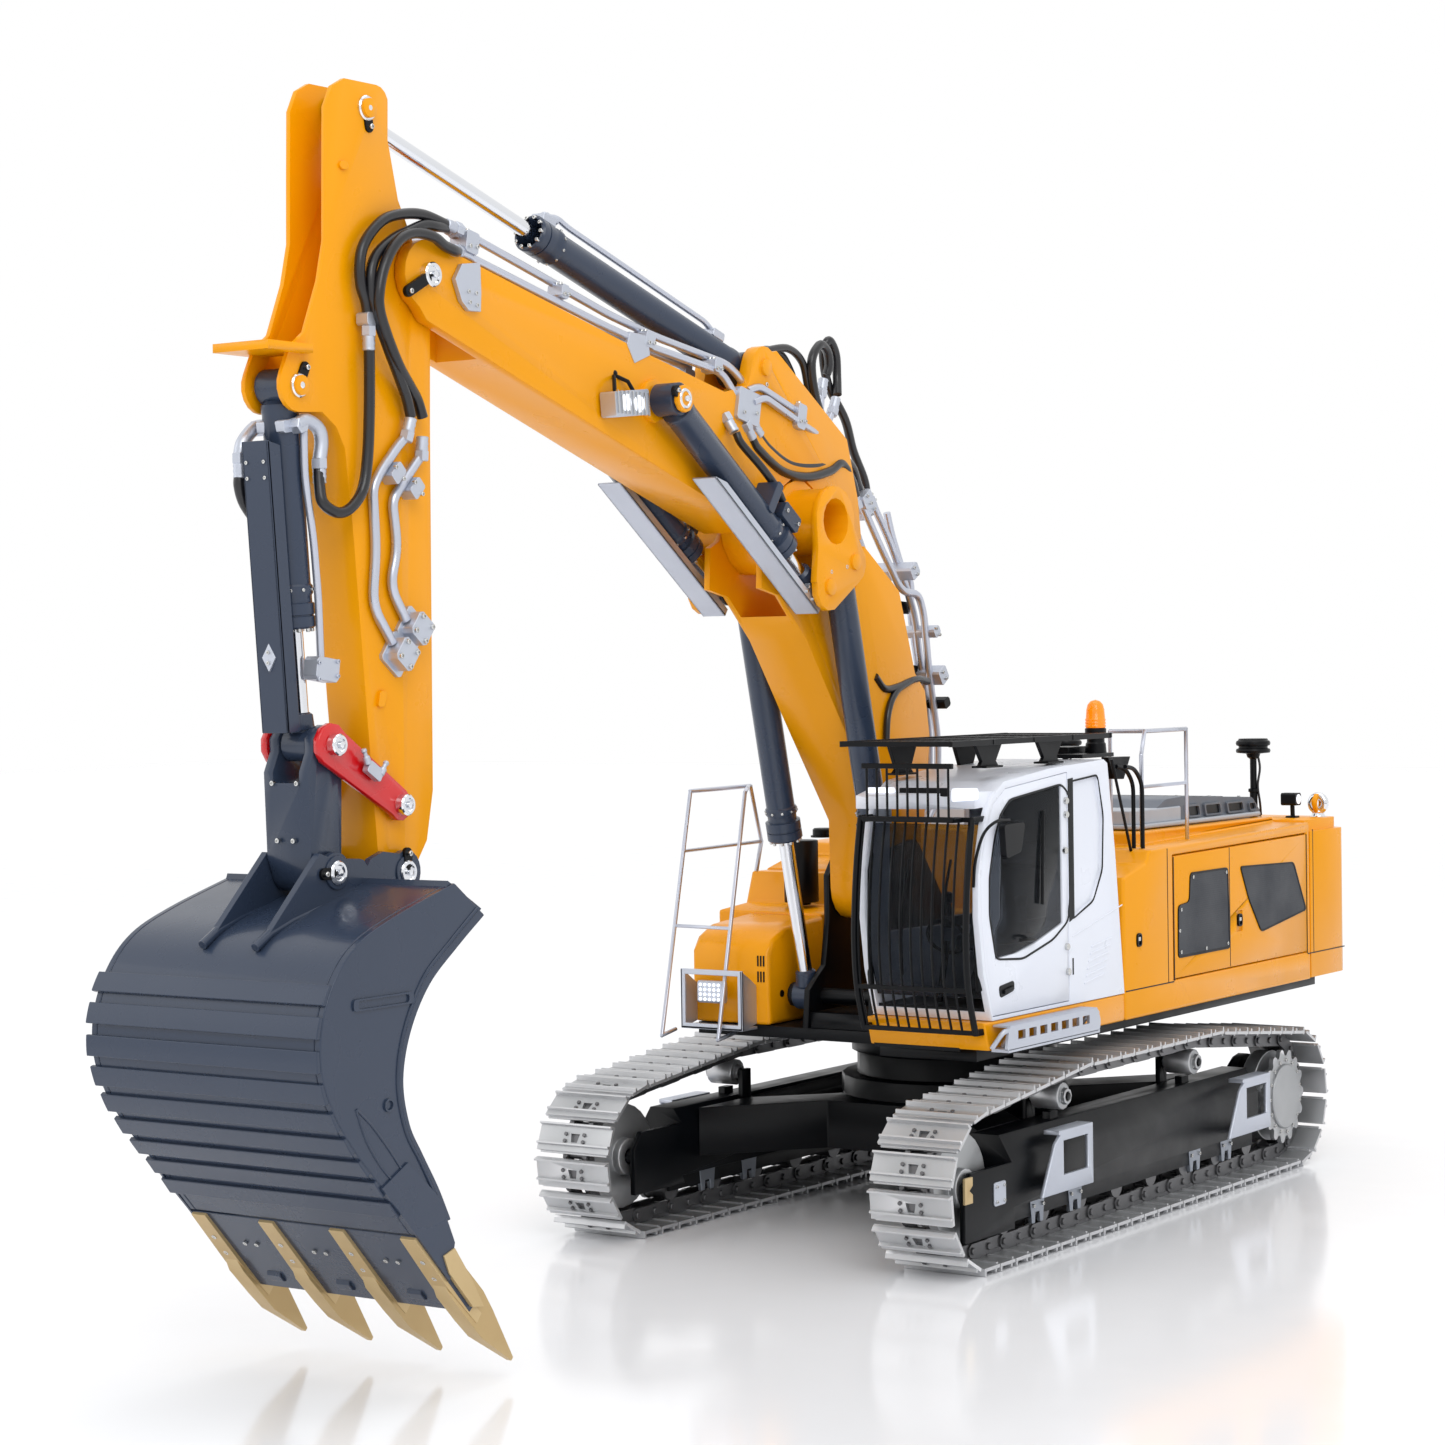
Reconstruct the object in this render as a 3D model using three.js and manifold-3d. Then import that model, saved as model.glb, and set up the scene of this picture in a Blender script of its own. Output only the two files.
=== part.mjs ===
// A 1:14 radio-controlled hydraulic crawler excavator with a two-piece boom.
// Millimetres, +Z up, the bucket towards -Y, the cab on +X. The origin is the middle of the footprint box.
import * as THREE from "three";
import { mergeVertices } from "three/addons/utils/BufferGeometryUtils.js";
import Module from "manifold-3d";

const wasm = await Module();
wasm.setup();

// ---------------------------------------------------------------- driving dimensions
const SHIFT = 141.5; // from the middle of the tracks to the middle of the footprint box
const GAUGE = 188; // between the track centre lines
const SHOE = 42.5; // shoe width
const SHOES = 60; // shoes in one track
const IDLER = [-168, 38], SPROCKET = [174, 38]; // y, z of the wheels
const WHEEL_TIP = 38; // wheel centre to grouser tip
const CHAIN = 11.4; // grouser tip to the rail's inner side
const PLATE = 1.6; // grouser tip to the shoe's outer side
const PITCH_LINE = 8; // grouser tip to the chain's pins
const CARRIER_Y = 72, CARRIER_Z = 68, CARRIER_R = 7;
const HOUSE_X = 105.5; // half width of the house
const DECK_Z = 98.5;
const TAIL_Y = 271.5;
const BOX = 16; // half width of the boom's box section
const STICK_X = 10; // half width of the stick
const CYL_X = 26; // the side cylinders' distance from the middle plane
const BUCKET_X = 57.5;

// Pin positions (y, z) in the middle plane at rest
const FOOT = [-76, 166]; // lower boom to house
const KNEE = [-166, 342.5]; // upper boom to lower boom
const TIP = [-434.7, 432.3]; // stick to upper boom
const BOOM_CYL = [[-97.6, 113], [-149.7, 324]]; // house, lower boom
const ADJ_CYL = [[-284, 392], [-172, 311.9]]; // upper boom, lower boom
const STICK_CYL = [[-193, 413], [-463.4, 494.6]]; // upper boom, stick
const BUCKET_PIN = [-452.3, 197.2]; // bucket to stick
const LINK_PIN = [-493.7, 199.5]; // link to bucket
const LEVER_PIN = [-455, 223.7]; // levers to stick
const LEVER_END = [-494.5, 248.3]; // levers to link and bucket cylinder
const BUCKET_CYL = [-505.3, 384.4]; // bucket cylinder to stick
const PIN_BORE = 4.3; // bore of the eyes on pins of radius 3.9

// ---------------------------------------------------------------- colours
const look = (color, roughness, metalness) => ({ color, roughness, metalness });
const YELLOW = look(0xeaa300, 0.28, 0.1), BLACK = look(0x14161c, 0.4, 0.2);
const SLATE = look(0x3f4a5c, 0.32, 0.25), WHITE = look(0xeef0f6, 0.3, 0);
const SILVER = look(0xc4c8cc, 0.4, 0.9), STEEL = look(0xa9abae, 0.45, 0.85);
const CHROME = look(0xd8dade, 0.12, 1), RED = look(0xc4000c, 0.3, 0.1);
const BRONZE = look(0xb49664, 0.45, 0.4), GREY = look(0xa4a9ae, 0.45, 0.1);
const GLASS = look(0x30383c, 0.08, 0), AMBER = look(0xff9a10, 0.2, 0);

// ---------------------------------------------------------------- shapes
const group = new THREE.Group();
const span = (p, q) => Math.hypot(q[0] - p[0], q[1] - p[1]);

function solid(geometry) {
  const g = geometry.clone();
  g.deleteAttribute("normal");
  g.deleteAttribute("uv");
  const m = mergeVertices(g, 1e-4);
  return new wasm.Manifold(new wasm.Mesh({
    numProp: 3, vertProperties: m.attributes.position.array, triVerts: new Uint32Array(m.index.array),
  }));
}
function geometryOf(body) {
  const mesh = body.getMesh();
  const g = new THREE.BufferGeometry();
  g.setAttribute("position", new THREE.BufferAttribute(new Float32Array(mesh.vertProperties), 3));
  g.setIndex(new THREE.BufferAttribute(new Uint32Array(mesh.triVerts), 1));
  const flat = g.toNonIndexed();
  flat.computeVertexNormals();
  return flat;
}
function node(name, body, material) {
  const mesh = new THREE.Mesh(geometryOf(body), new THREE.MeshStandardMaterial(material));
  mesh.name = name;
  mesh.position.y = SHIFT;
  group.add(mesh);
}
const join = (...bodies) => bodies.flat(3).reduce((a, b) => a.add(b));
const cut = (body, ...tools) => tools.flat(3).reduce((a, b) => a.subtract(b), body);

// The corners of a profile, without repeated points and without points on a straight edge
function corners(points) {
  const p = points.filter((q, i) => span(q, points[(i + 1) % points.length]) > 1e-3);
  return p.filter((q, i) => {
    const a = p[(i + p.length - 1) % p.length], b = p[(i + 1) % p.length];
    const turn = (q[0] - a[0]) * (b[1] - q[1]) - (q[1] - a[1]) * (b[0] - q[0]);
    return Math.abs(turn) > 1e-4 * span(a, q) * span(q, b);
  }).map(([a, b]) => new THREE.Vector2(a, b));
}
function extrusion(points, depth, holes = []) {
  const outline = corners(points);
  const shape = new THREE.Shape(THREE.ShapeUtils.isClockWise(outline) ? outline.reverse() : outline);
  for (const h of holes) shape.holes.push(new THREE.Path(corners(h)));
  return new THREE.ExtrudeGeometry(shape, { depth, bevelEnabled: false, steps: 1 });
}
// A profile of [y, z] points drawn out from x0 to x1
function sideways(points, x0, x1, holes) {
  const g = extrusion(points, x1 - x0, holes);
  g.applyMatrix4(new THREE.Matrix4().set(0, 0, 1, x0, 1, 0, 0, 0, 0, 1, 0, 0, 0, 0, 0, 1));
  return solid(g);
}
// A plan of [x, y] points drawn up from z0 to z1
function upward(points, z0, z1, holes) {
  return solid(extrusion(points, z1 - z0, holes).translate(0, 0, z0));
}
const box = (x0, x1, y0, y1, z0, z1) =>
  solid(new THREE.BoxGeometry(x1 - x0, y1 - y0, z1 - z0).translate((x0 + x1) / 2, (y0 + y1) / 2, (z0 + z1) / 2));
const arc = ([y, z], r, from, to, n) => Array.from({ length: n + 1 }, (_, i) => {
  const t = THREE.MathUtils.degToRad(from + ((to - from) * i) / n);
  return [y + r * Math.cos(t), z + r * Math.sin(t)];
});
// A round bar along X
function across([y, z], r, x0, x1, n = 12) {
  return solid(new THREE.CylinderGeometry(r, r, x1 - x0, n).rotateZ(Math.PI / 2).translate((x0 + x1) / 2, y, z));
}
function upright(x, y, r, z0, z1, n = 12, rTop = r) {
  return solid(new THREE.CylinderGeometry(rTop, r, z1 - z0, n).rotateX(Math.PI / 2).translate(x, y, (z0 + z1) / 2));
}
// A round bar between two points
function rod(a, b, r, n = 8) {
  const p = new THREE.Vector3(...a), q = new THREE.Vector3(...b), d = q.clone().sub(p);
  const g = new THREE.CylinderGeometry(r, r, d.length(), n);
  g.applyQuaternion(new THREE.Quaternion().setFromUnitVectors(new THREE.Vector3(0, 1, 0), d.clone().normalize()));
  g.translate(...p.add(q).multiplyScalar(0.5).toArray());
  return solid(g);
}
// A bent tube through points; each piece runs a little past its bend, and every other one is slightly thinner
function frame(points, r, n = 6) {
  return points.slice(1).map((q, i) => {
    const p = points[i], u = q.map((v, k) => v - p[k]), l = Math.hypot(...u), e = (0.5 * r) / l;
    const from = i ? p.map((v, k) => v - u[k] * e) : p;
    const to = i < points.length - 2 ? q.map((v, k) => v + u[k] * e) : q;
    return rod(from, to, i % 2 ? r * 0.93 : r, n);
  });
}
// A point in the middle plane, a along the line from p to q and b to its left
function along(p, q, a, b = 0) {
  const l = Math.hypot(q[0] - p[0], q[1] - p[1]);
  const u = [(q[0] - p[0]) / l, (q[1] - p[1]) / l];
  return [p[0] + u[0] * a - u[1] * b, p[1] + u[1] * a + u[0] * b];
}
const at = (x, [y, z]) => [x, y, z];
const sides = [["left", 1], ["right", -1]];
const order = (s, a, b) => (s > 0 ? [a, b] : [-b, -a]);

// ---------------------------------------------------------------- tracks
// The belt as points at equal steps along the chain's pitch line, each with its outward direction
function beltSteps(count) {
  const wheel = WHEEL_TIP - PITCH_LINE, roller = CARRIER_R + CHAIN - PITCH_LINE;
  const circles = [
    [IDLER[0], IDLER[1], wheel], [-CARRIER_Y, CARRIER_Z, roller],
    [CARRIER_Y, CARRIER_Z, roller], [SPROCKET[0], SPROCKET[1], wheel],
  ];
  // The common tangents of neighbouring circles, going over the top from the idler
  const normals = circles.map((c, i) => {
    const d = circles[(i + 1) % 4], l = Math.hypot(d[0] - c[0], d[1] - c[1]);
    const u = [(d[0] - c[0]) / l, (d[1] - c[1]) / l], k = (c[2] - d[2]) / l, h = Math.sqrt(1 - k * k);
    return [u[0] * k - u[1] * h, u[1] * k + u[0] * h];
  });
  const dense = [];
  circles.forEach((c, i) => {
    const before = normals[(i + 3) % 4];
    const from = Math.atan2(before[1], before[0]);
    let to = Math.atan2(normals[i][1], normals[i][0]);
    while (to > from) to -= 2 * Math.PI;
    const steps = Math.max(1, Math.round((from - to) / 0.02));
    for (let k = 0; k <= steps; k++) {
      const t = from + ((to - from) * k) / steps, n = [Math.cos(t), Math.sin(t)];
      dense.push([c[0] + c[2] * n[0], c[1] + c[2] * n[1], ...n]);
    }
  });
  dense.push(dense[0]);
  const lengths = [0];
  for (let i = 1; i < dense.length; i++) lengths.push(lengths[i - 1] + span(dense[i - 1], dense[i]));
  const total = lengths.at(-1), out = [];
  for (let i = 0, k = 1; i < count; i++) {
    const s = (total * i) / count;
    while (lengths[k] < s) k++;
    const f = (s - lengths[k - 1]) / (lengths[k] - lengths[k - 1]);
    out.push(dense[k].map((v, a) => dense[k - 1][a] + f * (v - dense[k - 1][a])));
  }
  return out;
}
// The same line at a given distance inside the grouser tips
const inset = (steps, depth) => steps.map(([y, z, a, b]) => {
  const k = (PITCH_LINE - depth) / Math.hypot(a, b);
  return [y + a * k, z + b * k];
});
const fine = beltSteps(SHOES * 4), coarse = beltSteps(SHOES);
const tips = inset(fine, 0), faces = inset(fine, PLATE);
const shoeLine = tips.map((p, i) => (i % 4 < 2 ? p : faces[i]));
for (const [side, s] of sides) {
  const c = GAUGE / 2;
  const shoes = sideways(shoeLine, ...order(s, c - SHOE / 2, c + SHOE / 2), [inset(coarse, 4)]);
  const links = sideways(inset(coarse, 3), ...order(s, c - 8, c + 8), [inset(coarse, CHAIN)]);
  node("track_" + side, join(shoes, links), STEEL);
}

// ---------------------------------------------------------------- undercarriage
const TREAD = WHEEL_TIP - CHAIN - 1.2; // wheel radius under the chain
for (const [side, s] of sides) {
  const c = GAUGE / 2, x = (a, b) => order(s, a, b);
  // The long box with its bevelled top, and the plates on each side of the idler
  const section = [[80, 24], [106, 24], [106, 45], [99, 57], [85, 57], [80, 50]];
  const beam = solid(extrusion(section.map(([a, b]) => [s * a, b]), 272)
    .rotateX(Math.PI / 2).translate(0, 140, 0));
  const outer = sideways([[-176, 14], [-130, 14], [-130, 45], [-170, 45], [-176, 40]], ...x(103.2, 106));
  const inner = sideways([[-172, 20], [-130, 20], [-130, 50], [-166, 50], [-172, 42]], ...x(80, 82.8));
  const drive = join(
    sideways([[130, 22], [165, 22], [165, 54], [130, 54]], ...x(80, 84.5)),
    across(SPROCKET, 22, ...x(79, 84.5), 18),
  );
  const axle = across(IDLER, 3.5, ...x(82, 104), 12);
  const shaft = across(SPROCKET, 6, ...x(84, 100), 16);
  const posts = [-1, 1].map((k) => join(
    box(...x(c - 2, c + 2), k * CARRIER_Y - 4, k * CARRIER_Y + 4, 55, 60.4),
    box(...x(c - 13, c - 10.5), k * CARRIER_Y - 4, k * CARRIER_Y + 4, 48, 70),
    across([k * CARRIER_Y, CARRIER_Z], 2, ...x(c - 12, c + 10.4), 8),
  ));
  const rollers = Array.from({ length: 8 }, (_, i) => across([-133 + i * 38, 17.6], 5.2, ...x(c - 7.5, c + 7.5), 8));
  const keel = box(...x(c - 9.5, c + 9.5), -137, 137, 16.4, 25);
  node("track_frame_" + side, join(beam, outer, inner, drive, axle, shaft, posts, keel, rollers), BLACK);

  node("idler_" + side, cut(join(across(IDLER, TREAD, ...x(c - 4, c + 4), 28), across(IDLER, 9, ...x(c - 8, c + 8), 16)),
    across(IDLER, 3.7, ...x(c - 10, c + 10), 10)), STEEL);

  const teeth = [];
  for (let i = 0; i < 15; i++) {
    const t = (i * 2 * Math.PI) / 15, r = TREAD;
    for (const [k, q] of [[-0.075, r - 2.6], [-0.04, r], [0.04, r], [0.075, r - 2.6]])
      teeth.push([SPROCKET[0] + q * Math.cos(t + k), SPROCKET[1] + q * Math.sin(t + k)]);
  }
  const disc = sideways(teeth, ...x(c + 9.5, c + 12), []);
  const rim = across(SPROCKET, TREAD - 1, ...x(c - 4, c + 4), 24);
  node("sprocket_" + side, cut(join(rim, disc, across(SPROCKET, 10, ...x(c - 6, c + 10), 16)),
    across(SPROCKET, 6.3, ...x(c - 8, c + 6.6), 12)), STEEL);

  for (const [end, k] of [["front", -1], ["rear", 1]]) {
    const y = k * CARRIER_Y;
    const spool = join(across([y, CARRIER_Z], CARRIER_R - 0.4, ...x(c - 7.5, c + 7.5), 14),
      across([y, CARRIER_Z], CARRIER_R - 2.9, ...x(c - 9.6, c + 9.9), 8));
    node(`carrier_${side}_${end}`, cut(spool, across([y, CARRIER_Z], 2.3, ...x(c - 14, c + 13), 8)), STEEL);
    // The tread: a plate with a foot hole, standing off the frame's side
    const w = k < 0 ? -92 : 112;
    const tread = sideways([[w - 27, 27], [w + 24, 27], [w + 24, 56], [w - 6, 56], [w - 14, 50]], ...x(113, 115),
      [[[w - 6, 35], [w + 19, 35], [w + 19, 51], [w - 6, 51]]]);
    const shelf = join(box(...x(106.4, 115), w - 6, w + 24, 27, 29), box(...x(106.4, 115), w - 10, w + 24, 54, 56));
    node(`step_${side}_${end}`, join(tread, shelf), SILVER);
  }
}
const cross = [[-79.6, -118], [-79.6, -76], [-46, -40], [-46, 40], [-79.6, 76], [-79.6, 118], [-36, 66], [36, 66],
  [79.6, 118], [79.6, 76], [46, 40], [46, -40], [79.6, -76], [79.6, -118], [36, -66], [-36, -66]];
node("centre_frame", join(upward(cross, 32, 56), upright(0, 0, 58, 48, 66, 24), upright(0, 0, 50, 60, 77.6, 24)), BLACK);
node("slew_ring", cut(upright(0, 0, 53, 78, 87.6, 28), upright(0, 0, 34, 77, 89, 16)), BLACK);

// ---------------------------------------------------------------- house
const plan = [[-96, -60], [-84, -60], [-84, -110], [44, -110], [44, -146], [96, -146], [96, 240], [88, 250],
  [-88, 250], [-96, 240]];
node("deck", join(upward(plan, 92.4, DECK_Z - 0.4), upright(0, 0, 55, 88, 93, 24)), BLACK);

const foot = [[-113, DECK_Z], [-111, 117], [-103, 123], [-96, 128], [-92, 150], [-92, 172], [-84, 182], [-68, 182],
  [-58, 172], [-22, DECK_Z]];
node("boom_bracket", join(
  sideways(foot, 17, 20), sideways(foot, -20, -17), box(-20, 20, -110, -24, DECK_Z, 106),
  across(FOOT, 5.8, -21.5, 21.5), across(BOOM_CYL[0], 3.9, -34, 34),
  across(BOOM_CYL[0], 6, 32.5, 35), across(BOOM_CYL[0], 6, -35, -32.5),
), BLACK);

// Housing: a shell open to the deck, with a sunk opening for the side door
const side = [[-14, DECK_Z], [213, DECK_Z], [213, 185], [34, 181], [15.5, 181], [11, 174.8], [-14, 168.8]];
const room = [[14, DECK_Z - 5], [208, DECK_Z - 5], [208, 178], [14, 174]];
const door = [[42, 114], [208, 114], [208, 178.6], [42, 176.2]];
node("engine_housing", cut(
  join(sideways(side, -HOUSE_X, HOUSE_X), box(-84, 84, 40, 213, 180, 188)),
  sideways(room, -101, 101), sideways(door.map(([a, b]) => [a + (a < 100 ? -0.4 : 0.4), b + (b < 150 ? -0.4 : 0.4)]),
    102.8, 110),
  sideways([[48, 118], [202, 118], [202, 172], [48, 170]], 95, 110), box(-40, 60, -15, 8, 150, 200),
), YELLOW);
node("side_door", cut(sideways(door, 103.2, HOUSE_X), box(104.4, 107, 117, 124, 132, 143)), YELLOW);
const hoodPlan = [[-80, 50], [80, 50], [80, 204], [68, 217], [-68, 217], [-80, 204]];
node("hood", cut(join(upward(hoodPlan, 188.4, 199), upward(hoodPlan.map(([a, b]) => [a * 0.92, 11 + b * 0.92]), 198, 203.5)),
  box(-77, 77, 53, 202, 180, 197)), GREY);
const ROUND = 9;
const tail = [[-HOUSE_X, 213.4], [HOUSE_X, 213.4],
  ...arc([HOUSE_X - ROUND, TAIL_Y - 16], ROUND, 0, 80, 4), ...arc([0, TAIL_Y - 600], 600, 82, 98, 4),
  ...arc([ROUND - HOUSE_X, TAIL_Y - 16], ROUND, 100, 180, 4)];
const eye = join(upright(93, 254, 3.4, 185, 189, 10),
  cut(across([254, 193.6], 5.8, 91.8, 94.2, 14), across([254, 193.6], 3.6, 91, 95, 12)));
node("counterweight", join(upward(tail, 99, 180), upward(tail.map(([a, b]) => [a * 0.965, 9.4 + b * 0.958]), 179, 186),
  eye), YELLOW);

// Right side: tank, tool box, lamp frame and handrail
node("right_tank", sideways([[-59.6, DECK_Z], [-14.4, DECK_Z], [-14.4, 168], [-28, 168], [-34, 152], [-59.6, 150]],
  -HOUSE_X, -42), YELLOW);
node("tool_box", sideways([[-112, DECK_Z], [-60, DECK_Z], [-60, 149], [-96, 146], [-107, 141], [-112, 134]], -86, -40),
  YELLOW);
node("canister", join(upright(-64, -44, 9, 154, 186, 16), upright(-64, -44, 5, 152.6, 155, 10)), BLACK);
node("side_handrail", join(
  frame([[-96, -113, 94], [-96, -125, 92], [-96, -97, 213], [-96, -42, 213.5], [-97, -31, 184], [-97, -36, 168.6]], 1.1),
  frame([[-60, -113, 94], [-60, -128, 92], [-60, -101, 213], [-64, -93, 214.5], [-96, -44, 213.4]], 1.1),
  frame([[-96, -103.7, 183], [-97, -31.6, 184]], 0.9), frame([[-96, -112.2, 146], [-60, -115.8, 146]], 0.9),
), SILVER);

// Cab
const CAB = [42, HOUSE_X];
const cabSide = [[-148, 112], [-155.5, 134], [-159.5, 160], [-159, 180], [-153, 202], [-146, 214], [-134, 221],
  [-90, 225.5], [-34, 228], [-30, 226], [-23, 183], [-14.6, 112]];
const cabRoom = [[-170, 116], [-170, 206], [-142, 211], [-131, 218], [-90, 222.5], [-36, 225], [-26, 183], [-18, 116]];
const cabDoor = [[-147, 114], [-153.6, 136], [-157, 160], [-156.4, 180], [-151, 200], [-144, 211], [-133, 217.6],
  [-72.4, 223], [-72.4, 114]];
const doorGlass = [[-144, 140], [-149.4, 160], [-149, 178], [-144, 195], [-138, 206], [-129, 212.4], [-78, 217.6],
  [-78, 151.5], [-104, 144.5], [-124, 141]];
const rearGlass = [[-69, 218.4], [-41, 220.6], [-35.4, 201], [-37, 174], [-47, 160], [-69, 152.6]];
const shrink = (points, k) => {
  const c = [0, 1].map((a) => points.reduce((t, p) => t + p[a], 0) / points.length);
  return points.map((p) => [c[0] + (p[0] - c[0]) * k, c[1] + (p[1] - c[1]) * k]);
};
node("cab_base", sideways([[-151, DECK_Z], [-14.6, DECK_Z], [-14.6, 111.6], [-155, 111.6]], ...CAB), YELLOW);
node("cab_shell", cut(
  join(sideways(cabSide, ...CAB),
    upward([[42, -161], [48, -163], [100, -152], [104, -147], [104, -120], [42, -120]], 209, 217)),
  sideways(cabRoom, 45, 102.5),
  sideways(shrink(cabDoor, 1.006), 100, 107),
  sideways([[-175, 212], [-126, 222.6], [-126, 230], [-175, 230]], 30, 110),
  sideways(rearGlass, 103.9, 107),
  sideways([[-134, 150], [-60, 150], [-60, 208], [-134, 208]], 40, 47),
  box(52, 95, -30, -10, 150, 212),
), WHITE);
node("cab_door", sideways(cabDoor, 103, HOUSE_X, [doorGlass]), WHITE);
node("door_glass", sideways(shrink(doorGlass, 0.985), 103.6, 104.8), GLASS);
const screen = [[-150, 122], [-156, 140], [-158, 160], [-157.4, 180], [-151, 202], [-149.4, 201.6], [-155.8, 180],
  [-156.4, 160], [-154.4, 140], [-148.4, 122.4]];
node("windscreen", sideways(screen, 45.6, 101.9), GLASS);
node("seat", join(
  box(62, 86, -96, -68, 116.4, 128), box(60, 88, -100, -64, 128, 134), box(62, 86, -70, -60, 134, 176),
  box(66, 82, -69, -62, 176, 188), box(54, 59.6, -104, -66, 128, 142), box(88.4, 94, -104, -66, 128, 142),
  box(56, 92, -90, -76, 124, 130), rod([57, -100, 140], [57, -104, 154], 1), rod([91, -100, 140], [91, -104, 154], 1),
), BLACK);

// Guard bars in front of the windscreen
const guardLine = [[-160, 106], [-168, 146], [-161, 205]];
const guardBack = guardLine.map(([a, b]) => [a + 1.3, b]).reverse();
const bars = Array.from({ length: 11 }, (_, i) => {
  const x = 46.2 + i * 5.6;
  return sideways([...guardLine, ...guardBack], x - 0.6, x + 0.6);
});
const rails = [box(45, 104, -159.4, -157.6, 106.7, 108.1), box(45, 104, -169, -158.8, 203.9, 205.3)];
const stays = [47, 102].map((x) => box(x - 1, x + 1, -159, -155.9, 106.7, 108.1));
const topBars = Array.from({ length: 10 }, (_, i) => box(53 + i * 5.4, 54.2 + i * 5.4, -169, -167.8, 204.5, 229.5));
node("front_guard", join(bars, rails, stays, topBars, box(53, 102.8, -169.2, -167.6, 228.6, 230)), BLACK);

const slats = Array.from({ length: 5 }, (_, i) => box(47, 105, -180 + i * 32, -178 + i * 32, 238.6, 240.8));
const legs = [[47, -142, 220.4], [47, -99, 225.2], [94, -120, 223.2], [94, -76, 226.8]].map(([x, y, z]) =>
  box(x - 2, x + 2, y - 6, y + 6, z, 239));
node("roof_guard", join(slats, box(46, 48, -181, -24, 238.2, 241), box(104, 106, -181, -24, 238.2, 241),
  box(46, 106, -26, -24, 238.2, 241), [60, 75, 90].map((x) => box(x - 1, x + 1, -180, -24, 239, 240.4)), legs), BLACK);
node("beacon", join(box(82, 94, -34, -3, 228.5, 230), upright(88, -8, 5, 229.5, 245, 12),
  upright(88, -8, 4.8, 244, 257, 12, 3.4)), AMBER);
node("cab_step", join(
  box(106, 107.6, -148, -58, 97, 110), box(106, 115.2, -150, -66, 96.6, 98.6), box(106, 114.6, -136, -76, 108, 109.6)),
  SILVER);
const rail = 1.1;
node("deck_railing", join(
  frame([[96, 26, 181.6], [96, 26, 228], [94, 34, 240], [94, 82, 240], [94, 82, 182.6]], rail),
  frame([[96, 26, 212], [94, 82, 212]], 0.9), frame([[94, 36, 240], [76, 31, 240], [76, 31, 181.6]], rail),
), SILVER);
for (const [s, x] of [["left", 60], ["right", -60]])
  node("mast_" + s, join(upright(x, 240, 2.2, 186.4, 226, 8), upright(x, 240, 8.5, 225, 230, 14),
    upright(x, 240, 5, 229, 231.5, 10)), BLACK);

// ---------------------------------------------------------------- booms
const pinEnds = (p, r, x0, x1) => [across(p, r, x0, x1, 10), across(p, r, -x1, -x0, 10)];
const lower = [...arc(FOOT, 16, 180, 350, 8), [-47.9, 238.7], [-52, 262.3], [-61.5, 271.3], [-75.8, 311.8],
  [-108, 333], ...arc(KNEE, 58.2, -10, -36, 3), ...arc(KNEE, 20, -36, 188, 10), [-190, 334], [-197.5, 331],
  [-198.6, 311.6], [-183, 308.5], [-161, 288], [-134, 252.4], [-92.8, 199.2]];
const ring = [...arc(KNEE, 16.5, -10, 190, 9), [-181.5, 330], [-183.5, 314], ...arc(ADJ_CYL[1], 11, 170, 290, 4),
  ...arc(BOOM_CYL[1], 10, 290, 380, 3)];
const slot = [...arc(KNEE, 59, -60, 90, 10), [-215, 402], [-215, 300], [-176, 300], [-150, 292]];
node("lower_boom", cut(
  join(
    cut(sideways(lower, -BOX, BOX), sideways(slot, -12.9, 12.9)),
    sideways(ring, 33.2, 36.4), sideways(ring, -36.4, -33.2),
    across(KNEE, 15.5, 13, 34, 20), across(KNEE, 15.5, -34, -13, 20), across(KNEE, 13, -34, 34, 20),
    pinEnds(ADJ_CYL[1], 3.9, 13, 37.6), pinEnds(BOOM_CYL[1], 3.9, 13, 37.6),
  ),
  across(KNEE, 10.8, -40, 40, 16), across(FOOT, 6.2, -20, 20, 12),
), YELLOW);

const upper = [...arc(TIP, 14, 84, 246, 8), [-435.7, 414.4], [-229.9, 347.7], [-198, 337.6], [-190, 340.6],
  ...arc(KNEE, 21, 182, -6, 10), [-110.5, 336], [-113, 355], [-122.3, 383.7], [-157.2, 405.4], [-183, 421.5],
  ...arc(STICK_CYL[0], 10, 50, 165, 5), [-207, 404], [-226.1, 399.7], [-291.5, 413.6]];
const stickCylGap = [[-250, 401], [-178, 401], [-178, 432], [-250, 432]];
const fork = [[-460, 400], [-398, 380], [-398, 460], [-460, 460]];
const knee = [...arc(KNEE, 24, -100, 40, 6), [-160, 390], [-226, 390], [-226, 352], ...arc(KNEE, 24, 160, 250, 4)];
node("upper_boom", cut(
  join(
    cut(sideways(upper, -BOX, BOX), sideways(stickCylGap, -9.4, 9.4), sideways(fork, -10.6, 10.6)),
    sideways(knee, -12.5, 12.5), across(STICK_CYL[0], 3.9, -17.6, 17.6), across(TIP, 4.4, -18.6, 18.6),
    pinEnds(ADJ_CYL[0], 9.5, 15.5, 18.5), pinEnds(ADJ_CYL[0], 3.9, 15, 34.6), pinEnds(ADJ_CYL[0], 6, 32.4, 34.6),
  ),
  across(KNEE, 13.5, -13, 13, 20),
), YELLOW);

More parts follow.
